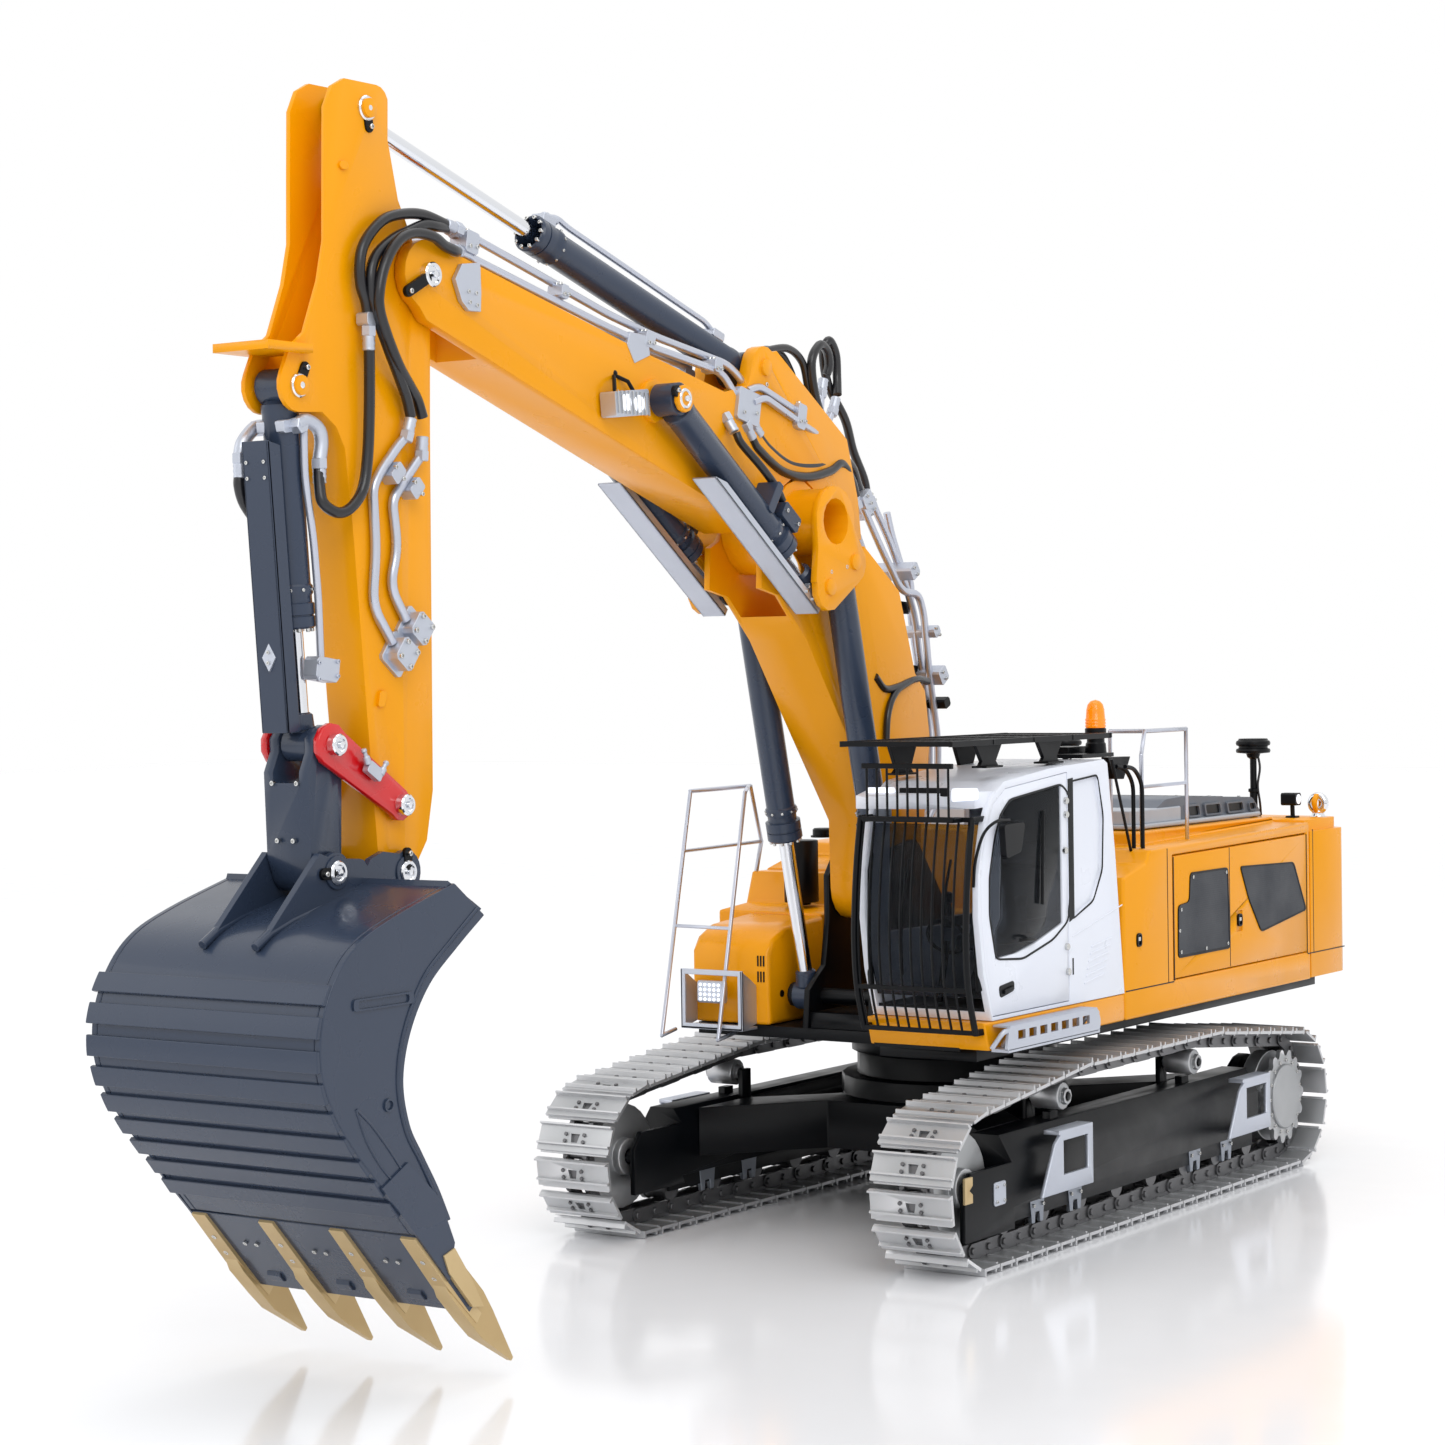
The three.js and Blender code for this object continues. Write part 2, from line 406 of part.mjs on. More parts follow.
// ---------------------------------------------------------------- stick
const stick = [[-487.2, 492], [-488, 465.7], [-488.6, 440.9], [-492.5, 425], [-500.9, 405], [-509.5, 398.5],
  ...arc(BUCKET_CYL, 10, 150, 270, 6), [-492, 375.2], [-484, 370], [-479.1, 362], [-474.8, 326.8], [-469.3, 264.9],
  [-463.6, 204], ...arc(BUCKET_PIN, 9, 190, 350, 7), [-433.8, 208.6], [-429.6, 228.4], [-427.7, 371.8],
  [-426.7, 411.7], [-432.2, 438.2], [-445.1, 461.2], [-450.8, 484], [-450.4, 498], ...arc([-457, 497.6], 7, 20, 90, 3),
  [-476, 504.4], [-483, 500.5]].reverse();
const stickGap = [[-520, 372], [-497, 372], [-486, 396], [-470, 430], [-462, 466], [-440, 470], [-440, 510], [-520, 510]];
node("stick", cut(
  join(
    cut(sideways(stick, -STICK_X, STICK_X), sideways(stickGap, -8, 8)),
    across(STICK_CYL[1], 3.9, -12.4, 12.4), across(BUCKET_CYL, 3.9, -12.4, 12.4),
    box(-14, 14, -526, -501, 396.6, 400),
  ),
  across(TIP, 4.8, -12, 12), across(BUCKET_PIN, 4.4, -12, 12), across(LEVER_PIN, 4.4, -12, 12),
), YELLOW);

// ---------------------------------------------------------------- bucket linkage
const leverShape = [...arc(LEVER_END, 8.4, 32, 230, 6), ...arc(LEVER_PIN, 6.4, 212, 420, 6)];
node("rocker", join(
  sideways(leverShape, 11.8, 15), sideways(leverShape, -15, -11.8),
  across(LEVER_END, 3.9, -16.6, 16.6), across(LEVER_PIN, 4, -16.6, 16.6),
), RED);
const linkShape = [...arc(LEVER_END, 7.6, -20, 200, 6), [-505.2, 238], [-504, 205], ...arc(LINK_PIN, 7.6, 200, 340, 6),
  [-485.6, 236]];
node("link", cut(sideways(linkShape, -11.2, 11.2),
  sideways([[-520, 234], [-480, 234], [-480, 262], [-520, 262]], -6.6, 6.6),
  across(LEVER_END, PIN_BORE, -12, 12), across(LINK_PIN, 5, -12, 12)), SLATE);

// ---------------------------------------------------------------- bucket
const back = [[-475, 195.5], [-510, 185], [-531, 176.5], [-544, 165], [-551.5, 149], [-552, 132], [-545, 115.4],
  [-533.2, 100], [-520, 86.3], [-501.2, 65.8]];
const mouth = [[-480.4, 68.6], [-487.5, 82], [-496.5, 96], [-503.6, 108], [-506.7, 124.6], [-502, 142],
  [-490.8, 158.3], [-474, 171], [-457.2, 182.1]];
const wallIn = back.map(([a, b], i) => {
  const p = back[Math.max(0, i - 1)], q = back[Math.min(back.length - 1, i + 1)];
  const l = span(p, q);
  return [a - ((q[1] - p[1]) / l) * 3, b + ((q[0] - p[0]) / l) * 3];
});
const strips = [[6.3], [7.1], [7.9], [4.1], [4.8], [5.55]].map(([t]) => {
  const i = Math.floor(t), f = t - i, p = back[i], q = back[i + 1];
  const c = [p[0] + (q[0] - p[0]) * f, p[1] + (q[1] - p[1]) * f];
  const e = along(p, q, span(p, q) * f + 9), n = along(p, q, span(p, q) * f, -2.6), m = along(p, q, span(p, q) * f + 9, -1.2);
  return sideways([along(c, e, 0, 1), along(c, e, 9, 1), m, n], -59.4, 59.4);
});
const ear = [[-533, 178], [-500, 209], ...arc(LINK_PIN, 7.6, 110, 60, 3), [-480, 203.6], [-466, 205],
  ...arc(BUCKET_PIN, 8.6, 100, -60, 6), [-470, 186], [-510, 180]];
node("bucket", join(
  cut(sideways([...back, ...mouth], -BUCKET_X, BUCKET_X),
    sideways([...wallIn, [-490, 55], [-440, 40], [-420, 190]], -54.5, 54.5)),
  sideways([[-475, 195.4], [-457.3, 182.2], [-459.2, 180.4], [-476, 192.6]], -56, 56),
  sideways(ear, 11.8, 14.8), sideways(ear, -14.8, -11.8),
  across(BUCKET_PIN, 4, -16.6, 16.6), across(LINK_PIN, 3.9, -16.6, 16.6), strips,
), SLATE);
// The lip closes the bottom: a floor plate, an end plate on each side and four pointed teeth
const lipEnd = [[-500.8, 65.2], [-470.4, 31.6], [-466.6, 35.4], [-469, 42], [-472.6, 56.6], [-480, 68]];
const lipFloor = [[-500.8, 65.2], [-470.4, 31.6], [-468.2, 33.6], [-497.6, 66]];
const tooth = [[-491, 54.8], [-490, 50.5], [-475, 31.5], [-465, 22.5], [-444, 8.7], [-440.3, 9.4], [-441, 13],
  [-455, 30], [-462, 38], [-480, 56]];
node("bucket_lip", join(
  sideways(lipFloor, -BUCKET_X, BUCKET_X),
  sideways(lipEnd, 54.6, BUCKET_X), sideways(lipEnd, -BUCKET_X, -54.6),
  [-53.6, -18, 18, 53.6].map((x) => sideways(tooth, x - 4.5, x + 4.5)),
), SLATE);

// ---------------------------------------------------------------- cylinders
// Barrel: an eye at p, a tube towards q that is open at its far end
function barrel([p, q], length, x, { r = 7, bore = 5.8, collar = 1.6, eye = 7.2, half = 5.8 } = {}) {
  const tube = rod(at(x, along(p, q, 6)), at(x, along(p, q, length)), r, 14);
  const head = rod(at(x, along(p, q, length - 12)), at(x, along(p, q, length)), r + collar, 14);
  const well = rod(at(x, along(p, q, 14)), at(x, along(p, q, length + 5)), bore, 12);
  return cut(join(cut(join(tube, head), well), across(p, eye, x - half, x + half, 14)),
    across(p, PIN_BORE, x - half - 1, x + half + 1, 12));
}
// Rod: an eye at q, a bar reaching back into the barrel, and pieces fixed to it
function piston([p, q], from, x, { r = 3.6, eye = 7, half = 5.8, fixed = [] } = {}) {
  return cut(join(rod(at(x, along(p, q, from)), at(x, along(p, q, span(p, q) - 5)), r, 12),
    across(q, eye, x - half, x + half, 14), fixed), across(q, PIN_BORE, x - 12, x + 12, 12));
}
// A plate drawn from a0 to a1 along the pin line and from b0 to b1 beside it
const plate = ([p, q], a0, a1, b0, b1, x0, x1) =>
  sideways([along(p, q, a0, b0), along(p, q, a1, b0), along(p, q, a1, b1), along(p, q, a0, b1)], x0, x1);
const gutter = (pins, a0, a1, low, high, x, half) => [
  plate(pins, a0, a1, low, low + 1, x - half, x + half),
  plate(pins, a0, a1, low, high, x - half, x - half + 1), plate(pins, a0, a1, low, high, x + half - 1, x + half),
];
for (const [name, s] of sides) {
  const x = s * CYL_X, l = span(...ADJ_CYL);
  node("boom_barrel_" + name, barrel([BOOM_CYL[1], BOOM_CYL[0]], 137, x), SLATE);
  node("boom_rod_" + name, piston([BOOM_CYL[1], BOOM_CYL[0]], 92, x), CHROME);
  node("adjust_barrel_" + name, barrel(ADJ_CYL, 108, x), SLATE);
  node("adjust_rod_" + name, piston(ADJ_CYL, 93, x, { fixed: [
    gutter(ADJ_CYL, 40, l + 4, -12.2, -7.8, x, 6.4), plate(ADJ_CYL, l - 4, l + 4, -12, -5, x - 5, x + 5),
  ] }), CHROME);
}
node("stick_barrel", barrel(STICK_CYL, 162, 0, { r: 7.3, bore: 6.4, collar: 0.7, eye: 8, half: 6.6 }), SLATE);
node("stick_rod", piston(STICK_CYL, 128, 0, { r: 3.4, eye: 7.2, half: 6.6 }), CHROME);
const bucketPins = [BUCKET_CYL, LEVER_END], reach = span(...bucketPins);
node("bucket_barrel", barrel(bucketPins, 92, 0, { r: 7, bore: 6.3, collar: 0, eye: 7, half: 6.4 }), SLATE);
node("bucket_rod", piston(bucketPins, 68, 0, { r: 2.8, eye: 6.8, half: 6, fixed: [
  gutter(bucketPins, 24, reach - 6, -15.6, -10.4, 0, 5.4),
  plate(bucketPins, reach - 12, reach - 6, -15, 1, -5.4, 5.4),
] }), SLATE);

export default group;
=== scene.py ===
"""A 1:14 radio-controlled crawler excavator: the looks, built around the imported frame.

Points are given in millimetres from the middle of the tracks, as (x, y, z), with the bucket towards -Y
and the cab on +X. Shape.make() turns them into metres in the frame's own axes.
"""
import math

import bmesh
import bpy
from mathutils import Matrix, Vector

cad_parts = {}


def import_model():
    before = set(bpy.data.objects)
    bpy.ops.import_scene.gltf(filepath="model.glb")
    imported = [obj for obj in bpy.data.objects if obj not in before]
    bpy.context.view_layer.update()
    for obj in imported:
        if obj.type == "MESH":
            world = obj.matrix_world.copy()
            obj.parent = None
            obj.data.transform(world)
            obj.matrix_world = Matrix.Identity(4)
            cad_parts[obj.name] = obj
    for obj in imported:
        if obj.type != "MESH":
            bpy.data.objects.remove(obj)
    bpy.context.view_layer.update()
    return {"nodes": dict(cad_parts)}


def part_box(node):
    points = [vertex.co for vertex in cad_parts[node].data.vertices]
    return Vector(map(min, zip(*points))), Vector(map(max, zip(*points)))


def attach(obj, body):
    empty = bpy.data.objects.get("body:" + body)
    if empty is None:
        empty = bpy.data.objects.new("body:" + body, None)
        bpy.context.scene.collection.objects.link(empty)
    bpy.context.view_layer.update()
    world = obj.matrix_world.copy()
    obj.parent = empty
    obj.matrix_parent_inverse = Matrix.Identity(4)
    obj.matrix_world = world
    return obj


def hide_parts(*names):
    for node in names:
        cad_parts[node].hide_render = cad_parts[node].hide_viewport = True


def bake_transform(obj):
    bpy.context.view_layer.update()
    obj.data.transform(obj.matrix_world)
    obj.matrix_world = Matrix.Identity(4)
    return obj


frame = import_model()
NODES = frame["nodes"]

# ---------------------------------------------------------------- driving sizes, as in the frame (mm)
SHIFT = 141.5  # from the middle of the tracks to the frame's origin
MM = 0.001
CYL_X = 26
TIP = (-434.7, 432.3)
BOOM_CYL = ((-97.6, 113), (-149.7, 324))
ADJ_CYL = ((-284, 392), (-172, 311.9))
STICK_CYL = ((-193, 413), (-463.4, 494.6))
BUCKET_PIN, LINK_PIN = (-452.3, 197.2), (-493.7, 199.5)
LEVER_PIN, LEVER_END = (-455, 223.7), (-494.5, 248.3)
BUCKET_CYL = (-505.3, 384.4)
IDLER, SPROCKET = (-168, 38), (174, 38)
GAUGE, SHOE, SHOES = 188, 42.5, 60
WHEEL_TIP, CHAIN, PITCH_LINE = 38, 11.4, 8
CARRIER_Y, CARRIER_Z, CARRIER_R = 72, 68, 7
BUCKET_X = 57.5
SPROCKET_TEETH = 15
ROLLERS, ROLLER_PITCH = 8, 38
FRONT_BARS, VISOR_BARS, ROOF_SLATS, ROOF_WIRES = 11, 9, 13, 30
WEAR_BANDS = 9
PIN_BORE = 4.3
SIDES = (("left", 1), ("right", -1))


def world(point):
    """A point of this script, in mm, as a place in the frame, in metres."""
    return Vector((point[0], point[1] + SHIFT, point[2])) * MM


# ---------------------------------------------------------------- materials
def srgb(red, green, blue):
    """A colour given as sRGB bytes, in linear light."""
    def linear(byte):
        c = byte / 255
        return c / 12.92 if c <= 0.04045 else ((c + 0.055) / 1.055) ** 2.4
    return linear(red), linear(green), linear(blue), 1.0


def shade(colour, factor):
    return tuple(min(1.0, c * factor) for c in colour[:3]) + (1.0,)


def material(name, colour, rough, metal=0.0, coat=0.0, grain=600, bump=0.05, uneven=0.06, wear=None,
        transmission=0.0, ior=1.5, glow=0.0, gloss=0.5):
    """A finish with fine grain in its bump, slow changes in colour and gloss, and pale wear on its edges."""
    made = bpy.data.materials.new(name)
    made.use_nodes = True
    tree = made.node_tree
    shader = tree.nodes["Principled BSDF"]
    shader.inputs["Metallic"].default_value = metal
    shader.inputs["Coat Weight"].default_value = coat
    shader.inputs["Coat Roughness"].default_value = 0.06
    shader.inputs["Transmission Weight"].default_value = transmission
    shader.inputs["IOR"].default_value = ior
    shader.inputs["Specular IOR Level"].default_value = gloss
    if glow:
        shader.inputs["Emission Color"].default_value = colour
        shader.inputs["Emission Strength"].default_value = glow
    place = tree.nodes.new("ShaderNodeTexCoord").outputs["Object"]

    def noise(scale, detail):
        node = tree.nodes.new("ShaderNodeTexNoise")
        node.inputs["Scale"].default_value = scale
        node.inputs["Detail"].default_value = detail
        tree.links.new(place, node.inputs["Vector"])
        return node.outputs["Fac"]

    def spread(value, low, high):
        node = tree.nodes.new("ShaderNodeMapRange")
        node.inputs["From Min"].default_value = 0.3
        node.inputs["From Max"].default_value = 0.7
        node.inputs["To Min"].default_value = low
        node.inputs["To Max"].default_value = high
        tree.links.new(value, node.inputs["Value"])
        return node.outputs["Result"]

    def mix(factor, first, second):
        node = tree.nodes.new("ShaderNodeMix")
        node.data_type = "RGBA"
        tree.links.new(factor, node.inputs["Factor"])
        for socket, value in (("A", first), ("B", second)):
            target = [s for s in node.inputs if s.name == socket and s.type == "RGBA"][0]
            if isinstance(value, tuple):
                target.default_value = value
            else:
                tree.links.new(value, target)
        return [s for s in node.outputs if s.type == "RGBA"][0]

    slow = noise(22, 3)
    base = mix(slow, shade(colour, 1 - uneven), shade(colour, 1 + uneven * 0.6))
    if wear:
        edge = tree.nodes.new("ShaderNodeNewGeometry").outputs["Pointiness"]
        node = tree.nodes.new("ShaderNodeMapRange")
        node.inputs["From Min"].default_value = 0.53
        node.inputs["From Max"].default_value = 0.62
        tree.links.new(edge, node.inputs["Value"])
        base = mix(node.outputs["Result"], base, wear)
    tree.links.new(base, shader.inputs["Base Color"])
    tree.links.new(spread(noise(45, 4), rough * 0.85, min(1.0, rough * 1.2)), shader.inputs["Roughness"])
    relief = tree.nodes.new("ShaderNodeBump")
    relief.inputs["Strength"].default_value = bump
    relief.inputs["Distance"].default_value = 0.0002
    tree.links.new(noise(grain, 3), relief.inputs["Height"])
    tree.links.new(relief.outputs["Normal"], shader.inputs["Normal"])
    return made


YELLOW = material("gloss yellow paint", srgb(236, 156, 0), 0.3, coat=0.1, grain=900, bump=0.03, uneven=0.03,
    gloss=0.22)
BLACK = material("black powder coat", srgb(7, 9, 13), 0.36, grain=2600, bump=0.1, uneven=0.15, gloss=0.2)
SLATE = material("slate gloss paint", srgb(46, 57, 76), 0.27, coat=0.2, grain=900, bump=0.05, uneven=0.07,
    gloss=0.35)
WHITE = material("white cab paint", srgb(226, 230, 240), 0.3, coat=0.2, grain=1200, bump=0.03, uneven=0.02)
SILVER = material("cast aluminium", srgb(196, 201, 212), 0.42, 0.75, grain=2400, bump=0.22, uneven=0.08)
TUBE = material("drawn aluminium tube", srgb(196, 200, 212), 0.3, 0.8, grain=1500, bump=0.06)
STEEL = material("blasted track steel", srgb(176, 178, 180), 0.42, 0.85, grain=2200, bump=0.3, uneven=0.18,
    wear=srgb(232, 232, 234))
DARKSTEEL = material("oiled chain steel", srgb(112, 112, 114), 0.38, 0.85, grain=1800, bump=0.25, uneven=0.2)
CHROME = material("hard chrome", srgb(226, 228, 232), 0.09, 1.0, grain=300, bump=0.01, uneven=0.03)
BOLT = material("zinc bolt heads", srgb(206, 206, 204), 0.22, 1.0, grain=3000, bump=0.08, uneven=0.1)
RED = material("red lever paint", srgb(206, 10, 18), 0.24, coat=0.5, grain=900, bump=0.04, uneven=0.06)
BRONZE = material("bronze tooth paint", srgb(186, 158, 108), 0.38, 0.35, grain=1800, bump=0.18, uneven=0.12,
    wear=srgb(222, 200, 156))
HOODLIGHT = material("light hood plastic", srgb(172, 177, 185), 0.42, grain=1800, bump=0.08)
HOODDARK = material("dark hood plastic", srgb(92, 99, 110), 0.45, grain=1800, bump=0.1)
RUBBER = material("hose rubber", srgb(24, 24, 28), 0.3, coat=0.15, grain=1400, bump=0.2, uneven=0.2)
GLASS = material("smoked glazing", srgb(128, 134, 142), 0.02, transmission=0.96, grain=60, bump=0.003, ior=1.12)
AMBER = material("amber lens", srgb(255, 150, 16), 0.1, transmission=0.35, grain=120, bump=0.03, glow=0.25)
LAMP = material("lamp lens", srgb(235, 240, 250), 0.08, grain=1500, bump=0.3, glow=0.8)
SEAT = material("seat fabric", srgb(30, 32, 38), 0.85, grain=4200, bump=0.5, uneven=0.2)
GALVANISED = material("galvanised brackets", srgb(150, 156, 166), 0.36, 0.85, grain=700, bump=0.15, uneven=0.25)


def mesh_panel():
    """Black perforated sheet: rows of small round dents in its bump."""
    made = material("perforated black panel", srgb(40, 44, 52), 0.5, grain=1600, bump=0.05)
    tree = made.node_tree
    cells = tree.nodes.new("ShaderNodeTexVoronoi")
    cells.inputs["Scale"].default_value = 900
    cells.inputs["Randomness"].default_value = 0
    tree.links.new(tree.nodes["Texture Coordinate"].outputs["Object"], cells.inputs["Vector"])
    relief = tree.nodes["Bump"]
    relief.inputs["Strength"].default_value = 0.6
    tree.links.new(cells.outputs["Distance"], relief.inputs["Height"])
    return made


MESHPANEL = mesh_panel()


# ---------------------------------------------------------------- shapes
def span(p, q):
    return math.dist(p, q)


def along(p, q, a, b=0.0):
    """A (y, z) point, a along the line from p to q and b to its left."""
    length = span(p, q)
    u = ((q[0] - p[0]) / length, (q[1] - p[1]) / length)
    return (p[0] + u[0] * a - u[1] * b, p[1] + u[1] * a + u[0] * b)


def arc(centre, r, start, end, n):
    turns = [math.radians(start + (end - start) * i / n) for i in range(n + 1)]
    return [(centre[0] + r * math.cos(t), centre[1] + r * math.sin(t)) for t in turns]


def oblong(a0, a1, b0, b1):
    return [(a0, b0), (a1, b0), (a1, b1), (a0, b1)]


def round_turn(n, part=0.0):
    """n angles, equally spaced."""
    return [2 * math.pi * (i + part) / n for i in range(n)]


def oval(centre, width, height, n=20):
    return [(centre[0] + width / 2 * math.cos(t), centre[1] + height / 2 * math.sin(t)) for t in round_turn(n)]


def middle(loop):
    return [sum(p[k] for p in loop) / len(loop) for k in (0, 1)]


def shrunk(loop, across, down, centre=None):
    """The outline drawn in about its centre."""
    c = centre or middle(loop)
    return [(c[0] + (p[0] - c[0]) * across, c[1] + (p[1] - c[1]) * down) for p in loop]


def rounded(points, r, n=4):
    """The outline with each corner rounded to r."""
    out = []
    for i, p in enumerate(points):
        a, b = points[i - 1], points[(i + 1) % len(points)]
        k = min(r, span(p, a) * 0.45, span(p, b) * 0.45)
        start, end = [tuple(p[j] + (q[j] - p[j]) * k / span(p, q) for j in (0, 1)) for q in (a, b)]
        for s in range(n + 1):
            t = s / n
            out.append(tuple((1 - t) ** 2 * start[j] + 2 * t * (1 - t) * p[j] + t * t * end[j] for j in (0, 1)))
    return out


def smooth(points, steps=8):
    """A soft line through the points."""
    p = [Vector(q) for q in points]
    p = [p[0] * 2 - p[1]] + p + [p[-1] * 2 - p[-2]]
    out = []
    for i in range(1, len(p) - 2):
        for s in range(steps):
            t = s / steps
            a, b, c, d = p[i - 1:i + 3]
            cubic = (2 * a - 5 * b + 4 * c - d) * t * t + (3 * b - a - 3 * c + d) * t ** 3
            out.append(0.5 * (2 * b + (c - a) * t + cubic))
    return out + [p[-2]]


def bent(points, r=6, n=5):
    """A pipe's line: straight runs joined by bends of radius about r."""
    p = [Vector(q) for q in points]
    out = [p[0]]
    for a, b, c in zip(p, p[1:], p[2:]):
        k = min(r, (b - a).length * 0.45, (c - b).length * 0.45)
        start, end = b + (a - b).normalized() * k, b + (c - b).normalized() * k
        out += [start * (1 - t) ** 2 + b * 2 * t * (1 - t) + end * t * t for t in (i / n for i in range(n + 1))]
    return out + [p[-1]]


class Shape:
    """Closed solids gathered in one mesh."""

    def __init__(self):
        self.mesh = bmesh.new()

    def prism(self, outline, axis, low, high, holes=()):
        """An outline drawn along x ((y, z) points), y ((x, z) points) or z ((x, y) points)."""
        place = {"x": lambda p, h: (h, p[0], p[1]),
            "y": lambda p, h: (p[0], h, p[1]),
            "z": lambda p, h: (p[0], p[1], h)}[axis]
        caps = []
        for h in (low, high):
            rings = []
            for loop in (outline, *holes):
                verts = [self.mesh.verts.new(place(p, h)) for p in loop]
                edges = [self.mesh.edges.new((v, verts[(i + 1) % len(verts)])) for i, v in enumerate(verts)]
                rings.append((verts, edges))
            if holes:
                bmesh.ops.triangle_fill(self.mesh, use_beauty=True, edges=[e for r in rings for e in r[1]])
            else:
                self.mesh.faces.new(rings[0][0])
            caps.append(rings)
        for (low_ring, _), (high_ring, _) in zip(*caps):
            count = len(low_ring)
            for i in range(count):
                j = (i + 1) % count
                self.mesh.faces.new((low_ring[i], low_ring[j], high_ring[j], high_ring[i]))
        return self

    def box(self, x0, x1, y0, y1, z0, z1):
        return self.prism(oblong(x0, x1, y0, y1), "z", z0, z1)

    def turn(self, start, end, profile, n=28):
        """(distance, radius) points turned about the line from start towards end, closed to the line at both ends."""
        a, d = Vector(start), (Vector(end) - Vector(start)).normalized()
        side = d.orthogonal().normalized()
        other = d.cross(side)
        if profile[0] != profile[-1]:
            front, back = [(profile[0][0], 0)], [(profile[-1][0], 0)]
            profile = front * (profile[0][1] > 0) + profile + back * (profile[-1][1] > 0)
        rings = []
        for h, r in profile:
            if r < 1e-6:
                rings.append([self.mesh.verts.new(a + d * h)])
                continue
            rings.append([self.mesh.verts.new(a + d * h + (side * math.cos(t) + other * math.sin(t)) * r)
                for t in round_turn(n, 0.5)])
        for low, high in zip(rings, rings[1:]):
            for i in range(n):
                j = (i + 1) % n
                if len(low) == 1 and len(high) > 1:
                    self.mesh.faces.new((low[0], high[j], high[i]))
                elif len(high) == 1 and len(low) > 1:
                    self.mesh.faces.new((low[i], low[j], high[0]))
                elif len(low) > 1:
                    self.mesh.faces.new((low[i], low[j], high[j], high[i]))
        return self

    def rod(self, start, end, r, n=20, edge=0.25):
        length = (Vector(end) - Vector(start)).length
        e = min(edge, r * 0.4, length * 0.3)
        return self.turn(start, end, [(0, r - e), (e, r), (length - e, r), (length, r - e)], n)

    def ring(self, start, end, outer, inner, n=28):
        length = (Vector(end) - Vector(start)).length
        e = min(0.3, (outer - inner) * 0.3, length * 0.3)
        profile = [(0, inner), (0, outer - e), (e, outer), (length - e, outer), (length, outer - e), (length, inner)]
        return self.turn(start, end, profile + [profile[0]], n)

    def ball(self, centre, r, n=16):
        c = Vector(centre)
        profile = [(r - r * math.cos(math.pi * i / 8), r * math.sin(math.pi * i / 8)) for i in range(9)]
        profile[0], profile[-1] = (0, 0), (2 * r, 0)
        return self.turn(c - Vector((0, 0, r)), c, profile, n)

    def tube(self, line, r, n=10):
        """A round bar that follows the line."""
        line = [Vector(p) for p in line]
        tangent = (line[1] - line[0]).normalized()
        side = tangent.orthogonal().normalized()
        rings = []
        for i, p in enumerate(line):
            ahead, behind = line[min(i + 1, len(line) - 1)], line[max(i - 1, 0)]
            new = (ahead - behind).normalized()
            side = (side - new * side.dot(new)).normalized()
            other = new.cross(side)
            rings.append([self.mesh.verts.new(p + (side * math.cos(t) + other * math.sin(t)) * r)
                for t in round_turn(n)])
        for low, high in zip(rings, rings[1:]):
            for i in range(n):
                j = (i + 1) % n
                self.mesh.faces.new((low[i], low[j], high[j], high[i]))
        self.mesh.faces.new(list(reversed(rings[0])))
        self.mesh.faces.new(rings[-1])
        return self

    def bolt(self, at, direction, size=1.6, height=1.0):
        """A socket-head bolt standing on a surface."""
        a, d = Vector(at), Vector(direction).normalized()
        r = size / 2
        return self.turn(a - d * 0.4, a + d, [(0, r), (0.4 + height * 0.85, r), (0.4 + height, r * 0.8),
            (0.4 + height, r * 0.5), (0.4 + height * 0.5, r * 0.45)], 12)

    def hexagon(self, start, end, r, n=6):
        length = (Vector(end) - Vector(start)).length
        return self.turn(start, end, [(0, r * 0.9), (0.3, r), (length - 0.3, r), (length, r * 0.9)], n)

    def turned(self, matrix, first=0):
        """Moves the vertices made since number first."""
        self.mesh.verts.ensure_lookup_table()
        bmesh.ops.transform(self.mesh, matrix=matrix, verts=self.mesh.verts[first:])
        return self

    def make(self, name, body, finish, edge=0.0, angle=38, replaces=()):
        """The finished piece, riding on a body, with its edges broken by edge mm."""
        bmesh.ops.recalc_face_normals(self.mesh, faces=self.mesh.faces)
        for v in self.mesh.verts:
            v.co = world(v.co)
        data = bpy.data.meshes.new(name)
        self.mesh.to_mesh(data)
        self.mesh.free()
        piece = bpy.data.objects.new(name, data)
        bpy.context.scene.collection.objects.link(piece)
        soften(piece, edge, angle)
        data.materials.append(finish)
        if body:
            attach(piece, body)
        if replaces:
            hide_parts(*replaces)
        return piece


def soften(piece, edge, angle):
    """Smooth shading between its sharp edges, and a small bevel on those."""
    piece.data.shade_smooth()
    if not edge:
        piece.data.set_sharp_from_angle(angle=math.radians(angle))
        return
    bevel = piece.modifiers.new("edges", "BEVEL")
    bevel.width = edge * MM
    bevel.segments = 2
    bevel.limit_method = "ANGLE"
    bevel.angle_limit = math.radians(angle)
    bevel.harden_normals = True


def dress(node, finish, edge=0.5, angle=38):
    """A CAD node keeps its shape and gets its finish and softened edges."""
    piece = NODES[node]
    piece.data.materials.clear()
    piece.data.materials.append(finish)
    weld = piece.modifiers.new("weld", "WELD")
    weld.merge_threshold = 1e-6
    soften(piece, edge, angle)


